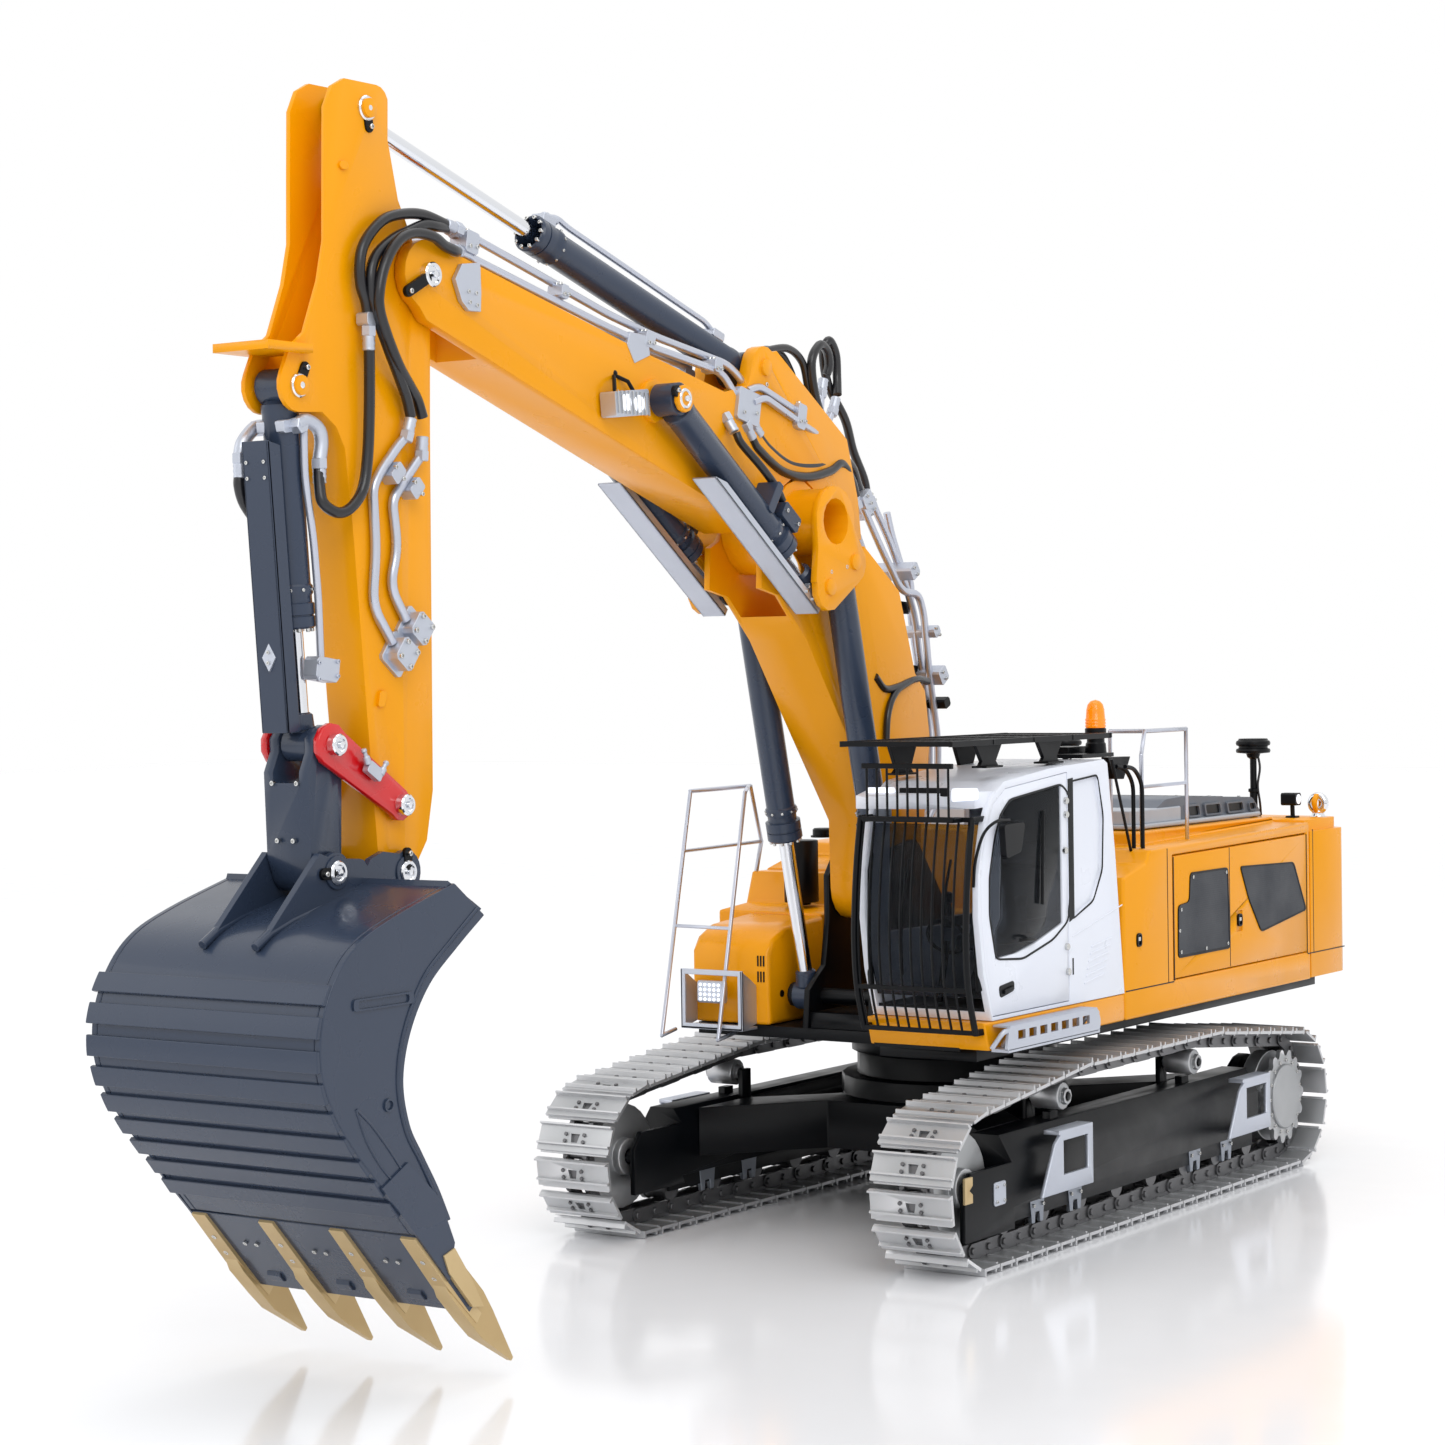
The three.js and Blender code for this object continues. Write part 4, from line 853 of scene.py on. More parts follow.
def work_lamp(name, body, x, y, z, wide, deep, s):
    """A lamp with two lenses behind a grille, in a finned box on a bracket."""
    case, grille, lens, bracket = Shape(), Shape(), Shape(), Shape()
    block(case, (x, y, z), (8, wide, deep), 6, 0.8)
    for i in range(5):
        block(case, (x - s * 4.6, y - wide * 0.32 + i * wide * 0.16, z), (2, 0.9, deep * 0.8), 6, 0.1)
    for i in range(9):
        block(grille, (x + s * 4.3, y - wide * 0.44 + i * wide * 0.11, z), (0.9, 0.5, deep * 0.9), 6, 0.1)
    for k in (-0.3, 0.3):
        lens.turn((x + s * 3.4, y + wide * 0.62 * k, z), (x + s * 5, y + wide * 0.62 * k, z), [(0, 0), (0,
            deep * 0.34), (0.6, deep * 0.34), (1, deep * 0.2), (1.1, 0)], 24)
    for k in (-1, 1):
        bracket.tube([(x, y + k * wide * 0.3, z + deep * 0.4), (x - s * 2, y + k * wide * 0.2, z + deep * 0.9),
            (x - s * 6, y, z + deep * 1.15)], 0.9, 8)
    bracket.ball((x - s * 6, y, z + deep * 1.2), 1.8)
    case.make(f"{name}_case", body, SILVER, 0.3)
    grille.make(f"{name}_grille", body, BOLT)
    lens.make(f"{name}_lens", body, LAMP)
    bracket.make(f"{name}_bracket", body, BLACK)


for side, s in SIDES:
    work_lamp(f"boom_lamp_{side}", "upper", s * 21, -310, 389, 25, 11, s)

# ---------------------------------------------------------------- knee: hoses between the booms
KNEE_JOINT = ("boom", "upper", (0, -120, 362), (0, -175, 380))
hose("knee_hose_low", [(16, -205, 380), (16, -199.2, 374.9), (16, -180.1, 366.1), (16, -158.7, 364.3), (16, -138.4,
    367.9), (15, -126.3, 372.1), (13, -114.3, 365.3), (11, -107, 358)], joint=KNEE_JOINT)
hose("knee_hose_high", [(14, -198, 383), (14, -188.1, 376.4), (14, -170.4, 370.1), (14, -147.1, 370.3), (13,
    -126.5, 374.9), (11, -110.9, 372), (8, -100.5, 364.1), (6, -93, 356.6)], joint=KNEE_JOINT)
hose("knee_loop_front", [(3, -119, 416), (4, -118.4, 421), (5, -122, 427), (6, -130, 429), (6, -137.4, 420), (6,
    -133.6, 402.4), (6, -122, 386.6), (6, -108.3, 374), (5, -98, 366), (4, -86, 356.5)], joint=("boom", "upper",
    (6, -100, 364), (6, -128, 400)))
hose("knee_loop_back", [(2, -108, 407), (0, -105, 416), (0, -106, 427), (0, -112.1, 433), (-2, -114, 426.1), (-3,
    -108, 411.4), (0, -98.2, 395.6), (-2, -87.9, 381.2), (-3, -76, 367), (-4, -72, 356)], joint=("boom", "upper",
    (0, -84, 374), (0, -108, 412)))
hose("stick_cylinder_hose_a", [(4, -181, 421), (4, -173.2, 423.2), (4, -155, 425.6), (3, -141, 420.3), (3, -136,
    408.6), (4, -132, 396), (4, -122, 388)], "upper", r=1.9)
hose("stick_cylinder_hose_b", [(0, -178, 422), (-1, -165.5, 424.6), (-2, -152, 423.5), (-2, -144.1, 416.6), (-1,
    -139.3, 406.7), (0, -130, 394)], "upper", r=1.9)
for side, s in SIDES:
    hose(f"adjust_hose_{side}", [(s * 21, -225, 381), (s * 23, -223.6, 376), (s * 27, -214, 366), (s * 29, -205,
        357), (s * 29, -200, 351)], joint=("upper", f"adjust_barrel_{side}", (s * 22, -224, 378), (s * 29, -203,
        355)), r=1.9)
    shape, screws = Shape(), Shape()
    block(shape, (s * 28, -199, 343.4), (11, 15, 8), -35.5, 1)
    block(shape, (s * 28, -212, 352), (11.4, 5, 16), -35.5, 1)
    for k in (-1, 1):
        screws.bolt((s * 33.5, -199 + k * 4.4, 343.4 - k * 3), (s, 0, 0), 2, 1.1)
    shape.make(f"adjust_port_{side}", f"adjust_barrel_{side}", SLATE, 0.3)
    screws.make(f"adjust_port_{side}_screws", f"adjust_barrel_{side}", BOLT)

# ---------------------------------------------------------------- lower boom: pipes down its back
pipes = Shape()
for points in ([(10, -100, 355), (10, -98.3, 352), (10, -84.4, 335.2), (10, -63.1, 311.5), (10, -47, 311), (10,
        -42, 300.9), (9, -36, 272), (8, -26, 236), (8, -28, 206), (8, -50, 184)], [(4, -80, 356), (4, -77.7,
        352.5), (4, -65.5, 338.7), (4, -53, 320.9), (4, -41, 301), (3, -35.5, 281.7), (3, -31, 268), (2, -24, 236),
        (2, -26, 206), (2, -50, 186)], [(-6, -50, 352), (-6, -46, 341.6), (-6, -36, 324), (-6, -27, 318), (-6, -28,
        301.3), (-5, -22, 272), (-4, -20, 240), (-4, -22, 208), (-4, -50, 188)], [(-12, -76, 352), (-12, -62, 330),
        (-12, -44, 306), (-12, -34, 270), (-11, -26, 236), (-10, -28, 206), (-10, -50, 184)]):
    pipes.tube(bent(points, 8), 1.9, 14)
pipes.make("lower_boom_pipes", "boom", TUBE)
shape, screws, bands = Shape(), Shape(), Shape()
for (x, y, z), size in (((10, -99, 356), (7, 7, 9)), ((4, -86, 354), (7, 7, 9)), ((-5, -74, 352), (7, 7, 9)), ((0,
        -58, 322), (30, 7, 8)), ((0, -31, 270), (30, 8, 8)), ((2, -37, 292), (26, 5, 6))):
    block(shape, (x, y, z), size, -56, 1)
    for k in (-1, 1):
        screws.bolt((x + k * size[0] * 0.34, y + size[2] * 0.42, z + size[2] * 0.28), (0, 0.83, 0.56), 2.1, 1.2)
        screws.bolt((x + size[0] / 2, y + k * 1.6, z - k * 1.6), (1, 0, 0), 1.7, 1)
for (x, y, z) in ((10, -107, 357), (6, -93, 356), (4, -86, 358), (-4, -73, 356)):
    fitting(shape, (x, y + 3, z - 4), (x, y, z + 3), 2.8)
block(bands, (1, -27, 256), (27, 5, 6), -66, 1)
shape.make("lower_boom_blocks", "boom", SILVER, 0.3)
screws.make("lower_boom_screws", "boom", BOLT)
for z, y0, y1 in ((304, -76, -42), (272, -66, -34), (252, -54, -26), (214, -56, -26)):
    bands.prism([(y0, z - 3), (y1, z - 3), (y1, z + 3), (y0, z + 5)], "x", -1.6, 1.6)
bands.make("lower_boom_band", "boom", BLACK, 0.3)
hose("boom_cylinder_hose", [(16, -99.6, 270), (16, -90.8, 264), (16, -78.1, 264.8), (15, -60, 268.3), (13, -44,
    267)], "boom", r=1.9)
hose("boom_cylinder_hose_down", [(16, -66, 267.5), (17, -82, 262), (18, -91.1, 252), (18, -93.3, 238)], "boom",
    r=1.7)

# ---------------------------------------------------------------- bucket
teeth, dark, screws = Shape(), Shape(), Shape()


def tooth(shape, x, outline, widths):
    """A solid whose outline is drawn along x, with its own half width at each point."""
    low = [shape.mesh.verts.new((x - w, y, z)) for (y, z), w in zip(outline, widths)]
    high = [shape.mesh.verts.new((x + w, y, z)) for (y, z), w in zip(outline, widths)]
    faces = [shape.mesh.faces.new(low), shape.mesh.faces.new(list(reversed(high)))]
    for i in range(len(outline)):
        j = (i + 1) % len(outline)
        shape.mesh.faces.new((low[i], high[i], high[j], low[j]))
    bmesh.ops.triangulate(shape.mesh, faces=faces)


for x in (-53.2, -18, 18, 53.2):
    tooth(teeth, x, [(-484, 44.6), (-480.4, 38.6), (-469.6, 27.4), (-462, 20), (-441.4, 7.2), (-440.2, 8.4), (-446,
        17), (-455, 30), (-461.4, 38.4), (-474, 52)], [3.0, 3.9, 3.9, 3.4, 1.2, 1.2, 1.9, 3.2, 3.9, 3.0])
    tooth(teeth, x, [(-499, 66.4), (-501.4, 64), (-482, 42), (-466, 26.6), (-463, 30), (-479, 45.6)], [3.7, 3.7,
        4.1, 4.1, 4.1, 3.9])
    for a in (0.3, 0.52):
        y, z = -501.4 + 30 * a, 64 - 33 * a
        screws.bolt((x, y, z), (0, -0.74, -0.67), 2.2, 0.5)
lip = [(-500.8, 65.2), (-470.4, 31.6), (-466.8, 34.6), (-496.4, 67.6)]
plate = Shape()
plate.prism(lip, "x", -BUCKET_X, BUCKET_X)
for x in (-36, 0, 36):
    block(dark, (x, -484.6, 49.4), (9, 20, 2.6), -47.8, 0.6)
    block(dark, (x, -474.6, 38.2), (7, 6, 5), -47.8, 1.2)
    screws.bolt((x - 3, -490, 52.4), (0, -0.74, -0.67), 2.0, 0.5)
    screws.bolt((x + 3, -490, 52.4), (0, -0.74, -0.67), 2.0, 0.5)
for x in (57.2, -59.2):
    teeth.prism([(-487, 56), (-480.5, 58), (-471, 45), (-463.8, 33), (-470.2, 33.8), (-484, 49)], "x", x, x + 2)
plate.make("bucket_lip_plate", "shovel", SLATE, 0.5, replaces=["bucket_lip"])
teeth.make("bucket_teeth", "shovel", BRONZE, 0.35)
dark.make("bucket_lip_blocks", "shovel", SLATE, 0.4)
screws.make("bucket_lip_bolts", "shovel", BOLT)


def soft_line(points, steps=7):
    return [(p.x, p.y) for p in smooth([(y, z, 0) for y, z in points], steps)]


# Bucket: a rolled wrapper between two side plates, shingled wear bands, and the ears
back = soft_line([(-475, 195.5), (-510, 185.5), (-531, 177), (-544, 165), (-551.5, 149), (-552, 132), (-545,
    115.4), (-533.2, 100), (-520, 86.3), (-501.2, 65.8)])
mouth = soft_line([(-480.4, 68.6), (-487.5, 82), (-496.5, 96), (-503.6, 108), (-506.7, 124.6), (-502, 142),
    (-490.8, 158.3), (-474, 171), (-457.2, 182.1)])
WALL = 3


def offset(points, distance):
    out = []
    for i, p in enumerate(points):
        a, b = points[max(i - 1, 0)], points[min(i + 1, len(points) - 1)]
        length = span(a, b)
        out.append((p[0] - (b[1] - a[1]) / length * distance, p[1] + (b[0] - a[0]) / length * distance))
    return out


shape = Shape()
shape.prism(back + list(reversed(offset(back, WALL))), "x", -BUCKET_X + WALL, BUCKET_X - WALL)
for s in (1, -1):
    shape.prism(back + mouth, "x", *sorted((s * (BUCKET_X - WALL), s * BUCKET_X)))
shape.make("bucket_shell", "shovel", SLATE, 0.6, 50, replaces=["bucket"])
bands = Shape()
first = min(range(len(back)), key=lambda i: span(back[i], (-546, 163)))
run, marks = [0.0], back[first:]
for a, b in zip(marks, marks[1:]):
    run.append(run[-1] + span(a, b))


def on_back(distance, lift):
    k = max(1, next((i for i, r in enumerate(run) if r >= distance), len(run) - 1))
    f = (distance - run[k - 1]) / (run[k] - run[k - 1])
    a, b = marks[k - 1], marks[k]
    p = (a[0] + (b[0] - a[0]) * f, a[1] + (b[1] - a[1]) * f)
    length = span(a, b)
    return (p[0] + (b[1] - a[1]) / length * lift, p[1] - (b[0] - a[0]) / length * lift)


step = (run[-1] - 8) / WEAR_BANDS
for i in range(WEAR_BANDS):
    d = i * step
    line = [on_back(d + step * 0.66 * k / 4, -0.6) for k in range(5)]
    top = [on_back(d + step * 0.66 * k / 4, 1.3 + 0.5 * k / 4) for k in range(5)]
    bands.prism(line + list(reversed(top)), "x", -BUCKET_X - 1.6, BUCKET_X - 0.4)
bands.make("bucket_bands", "shovel", SLATE, 0.4)
ear = ([(-534, 177), (-503, 207.4)] + arc(LINK_PIN, 7.8, 125, 40, 8) + [(-480, 204), (-477.6, 203.4), (-475.6,
    201), (-473.4, 203.6), (-466, 206)] + arc(BUCKET_PIN, 8.6, 120, -70, 12) + [(-462, 184), (-510, 181)])
bores = [arc(c, 3.8, 0, 345, 23) for c in (LINK_PIN, BUCKET_PIN)]
shape = Shape()
for s in (1, -1):
    shape.prism(ear, "x", *sorted((s * 11.8, s * 14.8)), bores)
    for c in (LINK_PIN, BUCKET_PIN):
        shape.ring(place(s * 14.4, c), place(s * 15.6, c), 6.6, 4)
    shape.tube([(s * 13.3, y, z) for y, z in ((-538, 174.4), (-530, 179), (-518, 183), (-500, 187.4))], 1.9, 10)
shape.prism([(-478, 196.6), (-458, 184.6), (-462, 181), (-480, 192)], "x", -BUCKET_X + 1, BUCKET_X - 1)
shape.make("bucket_ears", "shovel", SLATE, 0.4)
# Ribs and pressed pockets on the bucket's sides
shape = Shape()
for s in (1, -1):
    x = sorted((s * 57.3, s * 58.3))
    for loop in (rounded(oblong(-535, -501, 157, 152.6), 1.8), oval((-516, 116.4), 5, 5)):
        shape.prism(loop, "x", *x, [shrunk(loop, 0.84, 0.7)])
    leaf = [(s * 57.5, y, z) for y, z in ((-534, 117), (-528, 104), (-519, 92.6), (-509, 84.4), (-501.5, 80),
        (-507, 89), (-516, 100), (-525, 109.6), (-533.6, 117))]
    shape.tube(smooth(leaf, 4), 0.55, 8)
    edge = [(s * 57.6, y, z) for y, z in ((-489, 78), (-497.6, 92), (-506.4, 106), (-510.4, 124), (-506.6, 142),
        (-495, 161), (-478, 174), (-462, 185))]
    shape.tube(smooth(edge), 0.8, 8)
    corner = [(-521, 86.4), (-502.6, 67), (-483, 45.6), (-479.6, 60), (-488, 78), (-506, 94)]
    shape.prism(corner, "x", *sorted((s * 57.2, s * 58.4)))
shape.make("bucket_side_ribs", "shovel", SLATE, 0.3)

# ---------------------------------------------------------------- house: housing, hood, counterweight
dress("engine_housing", YELLOW, 1.6)
dress("counterweight", YELLOW, 1.6)
for node in ("side_handrail", "deck_railing"):
    dress(node, TUBE, 0.1, 80)
dress("canister", BLACK, 0.6)

panel, rim, screws = Shape(), Shape(), Shape()
PANELS = ([(46, 151), (59, 152), (60.4, 166.8), (106, 166.8), (107.6, 124), (45.4, 124)], [(121, 166.4), (190.4,
    164.6), (207, 137), (147, 129.4), (131.4, 148)])
for loop in PANELS:
    outline = rounded(loop, 3)
    inner = shrunk(outline, 0.965, 0.945, middle(loop))
    panel.prism(inner, "x", 105.3, 105.9)
    rim.prism(outline, "x", 105.3, 106.1, [inner])
for y, z in ((63.4, 164.4), (103.2, 164.4), (49, 148.6), (48.4, 127), (78, 126.6), (104.2, 127), (47, 138)):
    screws.bolt((105.9, y, z), (1, 0, 0), 1.9, 0.6)
panel.make("door_mesh_panels", "side_door", MESHPANEL)
rim.make("door_panel_rims", "side_door", BLACK, 0.15)
screws.make("door_panel_screws", "side_door", BOLT)


def latch(name, body, x, y, z):
    cup, key = Shape(), Shape()
    loop = rounded(oblong(y - 2.6, y + 2.6, z - 3.4, z + 3.4), 2.2)
    inner = shrunk(loop, 0.66, 0.72, (y, z))
    cup.prism(loop, "x", x - 0.3, x + 0.9, [inner])
    cup.prism(inner, "x", x - 0.3, x + 0.2)
    key.prism(oblong(y - 1.2, y + 1.2, z - 0.5, z + 1.5), "x", x, x + 0.8)
    cup.make(f"{name}_cup", body, BLACK, 0.2)
    key.make(f"{name}_key", body, BOLT, 0.15)


latch("housing_latch", "house", 105.5, 1.5, 137)
latch("door_latch", "side_door", 105.5, 120, 138)

# Panel gaps along the house's sides
shape = Shape()
for s in (1, -1):
    x = sorted((s * 105.3, s * 105.62))
    for y0, y1, z0, z1 in ((-12.9, 41, 112.3, 112.9), (209, 260, 112.3, 112.9), (216.7, 217.3, 112.6, 181), (34.4,
            35, 112.6, 180.6), (41.4, 42, 113, 176), (208, 208.6, 113, 178.6)):
        shape.prism(oblong(y0, y1, z0, z1), "x", *x)
shape.make("house_gaps", "house", BLACK)
shape = Shape()
shape.box(105.3, 105.6, 108, 108.6, 114.4, 177)
shape.make("door_gap", "side_door", BLACK)

# Hood: a pale base and a dark, sloping cover with windows down its sides
base, cover, dark, screws = Shape(), Shape(), Shape(), Shape()
base.prism(rounded([(-80, 52), (80, 52), (80, 206), (69, 217), (-69, 217), (-80, 206)], 3), "z", 188.6, 191)
base.prism(rounded(oblong(-77, 77, 54, 112), 3), "z", 190.6, 198.4)
profile = rounded([(64, 190.6), (94, 202.6), (116, 203.3), (203, 199.2), (214, 190.6)], 3)
cover.prism(profile, "x", -76, 76)
for y0, y1, z1 in ((117.4, 133.6, 198.6), (138.4, 160.4, 198.4), (166.6, 189.6, 197.8), (195.4, 205, 196.4)):
    for s in (1, -1):
        loop = rounded([(y0 + 2, 191.6), (y1 + 1, 191.6), (y1 - 1, z1), (y0, z1)], 1.6)
        inner = shrunk(loop, 0.84, 0.7, ((y0 + y1) / 2, 195))
        cover.prism(loop, "x", *sorted((s * 75.6, s * 77.4)), [inner])
        dark.prism(inner, "x", *sorted((s * 75.9, s * 76.3)))
for row in range(9):
    y = 122 + row * 8.6
    top = 203 - (y - 116) * 0.047
    dark.prism(rounded(oblong(-62, 62, y, y + 4.6), 1.5), "z", top - 0.5, top + 0.35)
for x in (-70, 70):
    for y in (120, 160, 198):
        screws.bolt((x, y, 203.1 - (y - 116) * 0.047), (0, 0, 1), 2, 0.8)
base.make("hood_base", "hood", HOODLIGHT, 0.9, replaces=["hood"])
cover.make("hood_cover", "hood", HOODDARK, 1.2)
dark.make("hood_openings", "hood", BLACK)
screws.make("hood_screws", "hood", BOLT)

# Grip strips and filler caps on the deck
shape, caps = Shape(), Shape()
for i in range(7):
    shape.box(-98, -84, 60 + i * 20, 74 + i * 20, 184.9, 185.7)
shape.make("deck_grip", "house", MESHPANEL)
for x, y, z in ((-72, -10, 186), (-52, 10, 186)):
    caps.turn((x, y, z - 0.5), (x, y, z + 5), [(0, 6.4), (1, 6.4), (1.2, 5.4), (4, 5.4), (4.8, 4.6)], 24)
caps.make("filler_caps", "house", BLACK)

# Lifting eyes, masts and work lamps on the counterweight
shape = Shape()
for x in (93, -93):
    shape.turn((x, 254, 185.2), (x, 254, 190), [(0, 4.6), (1, 4.6), (1.8, 3.7), (4.2, 2.9)], 24)
    shape.tube([(x + 4.2 * math.cos(t), 254, 193.6 + 4.2 * math.sin(t)) for t in round_turn(32) + [2 * math.pi]],
        2.1, 12)
shape.make("lifting_eyes", "house", CHROME)
for side, s in SIDES:
    mast, cable = Shape(), Shape()
    x = s * 60
    mast.turn((x, 240, 186), (x, 240, 232), [(0, 4), (1.4, 4), (2, 2.2), (14, 2.2), (14.4, 3), (16, 3), (16.4,
        1.9), (33, 1.9), (34, 3.4), (36, 4), (36.6, 9.4), (37.8, 9.8), (38.8, 9.4), (39.2, 8.2), (40.4, 8.2),
        (40.8, 9.4), (42, 9.8), (43.2, 9.4), (43.6, 8.6), (44.6, 8), (44.8, 0)], 32)
    cable.tube(smooth([(x + 2.6, 240, 222), (x + 4, 240, 214), (x + 2.6, 240, 204), (x + 3.4, 241, 194), (x + 3,
        243, 187)]), 0.7, 8)
    mast.make(f"mast_{side}_turned", "house", BLACK, replaces=[f"mast_{side}"])
    cable.make(f"mast_{side}_cable", "house", RUBBER)
case, lens = Shape(), Shape()
for s in (1, -1):
    x = s * 84
    block(case, (x, 237, 196.6), (9, 8, 7), 0, 1)
    case.tube([(x, 239, 193), (x, 239.4, 186)], 1.3, 10)
    block(case, (x, 239, 186.4), (6, 6, 1.4), 0, 0.4)
    lens.turn((x + s * 4.2, 237, 196.6), (x + s * 6, 237, 196.6), [(0, 2.7), (0.7, 2.7), (1, 1.6), (1.1, 0)], 20)
case.make("tail_lamps", "house", BLACK, 0.2)
lens.make("tail_lamp_lenses", "house", LAMP)

# Beacon
base, dome = Shape(), Shape()
base.box(81, 95, -36, -2, 228.4, 230.4)
base.turn((88, -8, 230), (88, -8, 250), [(0, 5.4), (5, 5), (5.6, 4.4), (9, 4.4), (9.6, 5.3), (12.4, 5.3), (12.8,
    4.6)], 28)
dome.turn((88, -8, 242.8), (88, -8, 260), [(0, 4.9), (0.8, 5.2), (1.6, 4.9), (2.4, 5.2), (3.2, 4.9), (4, 5.2),
    (4.8, 4.8), (9, 4.5), (11.6, 3.8), (13.2, 2.4), (14, 0)], 32)
base.make("beacon_base", "house", BLACK, 0.3, replaces=["beacon"])
dome.make("beacon_dome", "house", AMBER)

# ---------------------------------------------------------------- cab
def curve_bar(shape, points, r):
    shape.tube(smooth(points, 5), r, 8)


guard = [(-159.4, 106.4), (-165.4, 126), (-167.4, 146), (-166.4, 168), (-163.8, 188), (-160.4, 205)]
bars, rails = Shape(), Shape()
for i in range(FRONT_BARS):
    x = 46.2 + 5.6 * i
    curve_bar(bars, [(x, y, z) for y, z in guard], 0.62)
for i in range(VISOR_BARS):
    x = 53 + 5.4 * i
    bars.tube([(x, -169, 204), (x, -169, 229.6)], 0.6, 8)
for z, y in ((107.4, -160), (127, -165.6), (204.6, -160.6)):
    rails.box(43.6, 104.6, y - 0.9, y + 0.9, z - 1.1, z + 1.1)
rails.box(50.6, 98.6, -170, -168, 203.6, 206)
rails.box(50.6, 98.6, -170, -168, 228, 230.4)
rails.box(50.6, 52.6, -169.8, -160, 203.4, 205.4)
rails.box(96.6, 98.6, -169.8, -160, 203.4, 205.4)
for x in (44, 103.4):
    curve_bar(rails, [(x, y, z) for y, z in guard], 1.5)
    rails.box(x - 1, x + 1, -160, -150, 106, 109)
    rails.box(x - 1, x + 1, -161, -148, 203.4, 206)
bars.make("front_guard_bars", "house", BLACK, replaces=["front_guard"])
rails.make("front_guard_rails", "house", BLACK, 0.3)

# The slotted rail below the screen
holes = [oblong(x, x + 4, 100.2, 105.2) for x in (48 + 6.6 * i for i in range(6))]
shape, vent = Shape(), Shape()
shape.prism(oblong(44, 90, 97.4, 107.4), "y", -151.2, -149.6, holes)
for i in range(4):
    for j in range(3):
        c = (93.6 + i * 2.5 + (j % 2) * 1.25, 99.6 + j * 2.6)
        vent.prism(oval(c, 2.1, 2.1, 6), "y", -149.6, -148.9)
shape.make("cab_front_rail", "house", BLACK, 0.2)
vent.make("cab_front_vent", "house", BLACK)

# Roof guard: a frame, close slats and four tapered feet
frame_bars, feet = Shape(), Shape()
for x in (46.6, 104.2):
    frame_bars.box(x - 0.9, x + 0.9, -180.6, -24.4, 238.2, 240.8)
for y in (-180, -142, -103, -64, -25):
    frame_bars.box(46, 105.4, y - 0.8, y + 0.8, 238.4, 240.7)
for i in range(ROOF_SLATS):
    x = 50.6 + i * 4.1
    frame_bars.box(x - 0.35, x + 0.35, -180, -25, 238.6, 240.4)
for i in range(ROOF_WIRES):
    y = -176 + i * 5
    frame_bars.box(47, 104, y - 0.22, y + 0.22, 239, 239.8)
for x in (47.6, 93.6):
    for y in (-128, -68):
        low = 229.6 if x > 60 else 226
        feet.prism([(y - 13, 238.6), (y + 13, 238.6), (y + 6.6, low + 0.6), (y + 9, low - 1.6), (y - 9, low - 1.6),
            (y - 6.6, low + 0.6)], "x", x - 1, x + 1)
        feet.box(x - 4, x + 4, y - 8, y + 8, low - 2.4, low - 1.4)
frame_bars.make("roof_guard_grille", "house", BLACK, 0.1, replaces=["roof_guard"])
feet.make("roof_guard_feet", "house", BLACK, 0.3)

# Door furniture: glass seals, handle, hinges, pressed strokes
seal, handle, hinges = Shape(), Shape(), Shape()


def rim_of(loop, x, wide, thick, target):
    c = middle(loop)
    inner = [[c[k] + (p[k] - c[k]) * (1 - wide / span(p, c)) for k in (0, 1)] for p in loop]
    target.prism(loop, "x", x, x + thick, [inner])


full = rounded([(-144, 139.4), (-149.8, 160), (-149.4, 178), (-144.4, 195.4), (-138.2, 206.4), (-129, 213), (-78,
    218.2), (-70, 213), (-69, 175), (-72, 152), (-88, 144), (-118, 137.4)], 4)
rim_of(full, 105.3, 1.1, 0.5, seal)
seal.make("door_glass_seal", "cab_door", BLACK, 0.15)
loop = rounded([(-141.6, 127.2), (-127, 128.8), (-127, 124), (-140.4, 121.6)], 2)
handle.prism(loop, "x", 105.2, 105.9)
handle.prism([(-138, 125.2), (-129, 126.6), (-129, 124.8), (-138, 123.4)], "x", 105.6, 107)
handle.make("door_handle", "cab_door", BLACK, 0.3)
shape = Shape()
shape.tube(smooth([(106.2, -108, 146), (108, -111, 146.4), (108, -119, 147), (106.2, -122, 147)]), 0.8, 8)
shape.tube([(105.8, -99, 162), (105.8, -97, 206)], 0.8, 8)
shape.make("door_grab_bar", "cab_door", BLACK)
for y, z in ((-74.6, 209.6), (-74.6, 203), (-76, 186), (-75, 140), (-74, 128)):
    hinges.turn((105.2, y, z), (107.4, y, z), [(0, 1.7), (1.6, 1.7), (2, 1.2)], 14)
hinges.make("cab_hinge_bolts", "house", BOLT)
shape = Shape()
for i in range(6):
    y, z = -49.2 - i * 1.6, 137.3 - i * 3.4
    shape.prism([(y, z), (y + 21.4, z + 2.8), (y + 21.4, z + 3.8), (y, z + 1)], "x", 105.3, 105.9)
shape.prism([(-68.6, 144), (-16.1, 155.5), (-16.1, 156.1), (-68.6, 144.6)], "x", 105.3, 105.8)
shape.make("cab_vent_ribs", "house", WHITE, 0.2)
shape = Shape()
shape.prism(oblong(-68.9, -67.9, 126, 134), "x", 105.3, 105.8)
shape.prism([(-71.6, 219.8), (-66.4, 220.3), (-66.4, 153.2), (-71.6, 151.4)], "x", 105.2, 105.75)
rear = rounded([(-69, 219), (-40.6, 221.2), (-34.8, 201), (-36.4, 174), (-46.6, 159.4), (-69, 152)], 3)
rim_of(rear, 105.3, 1.0, 0.5, shape)
shape.make("cab_pillar", "house", BLACK, 0.15)

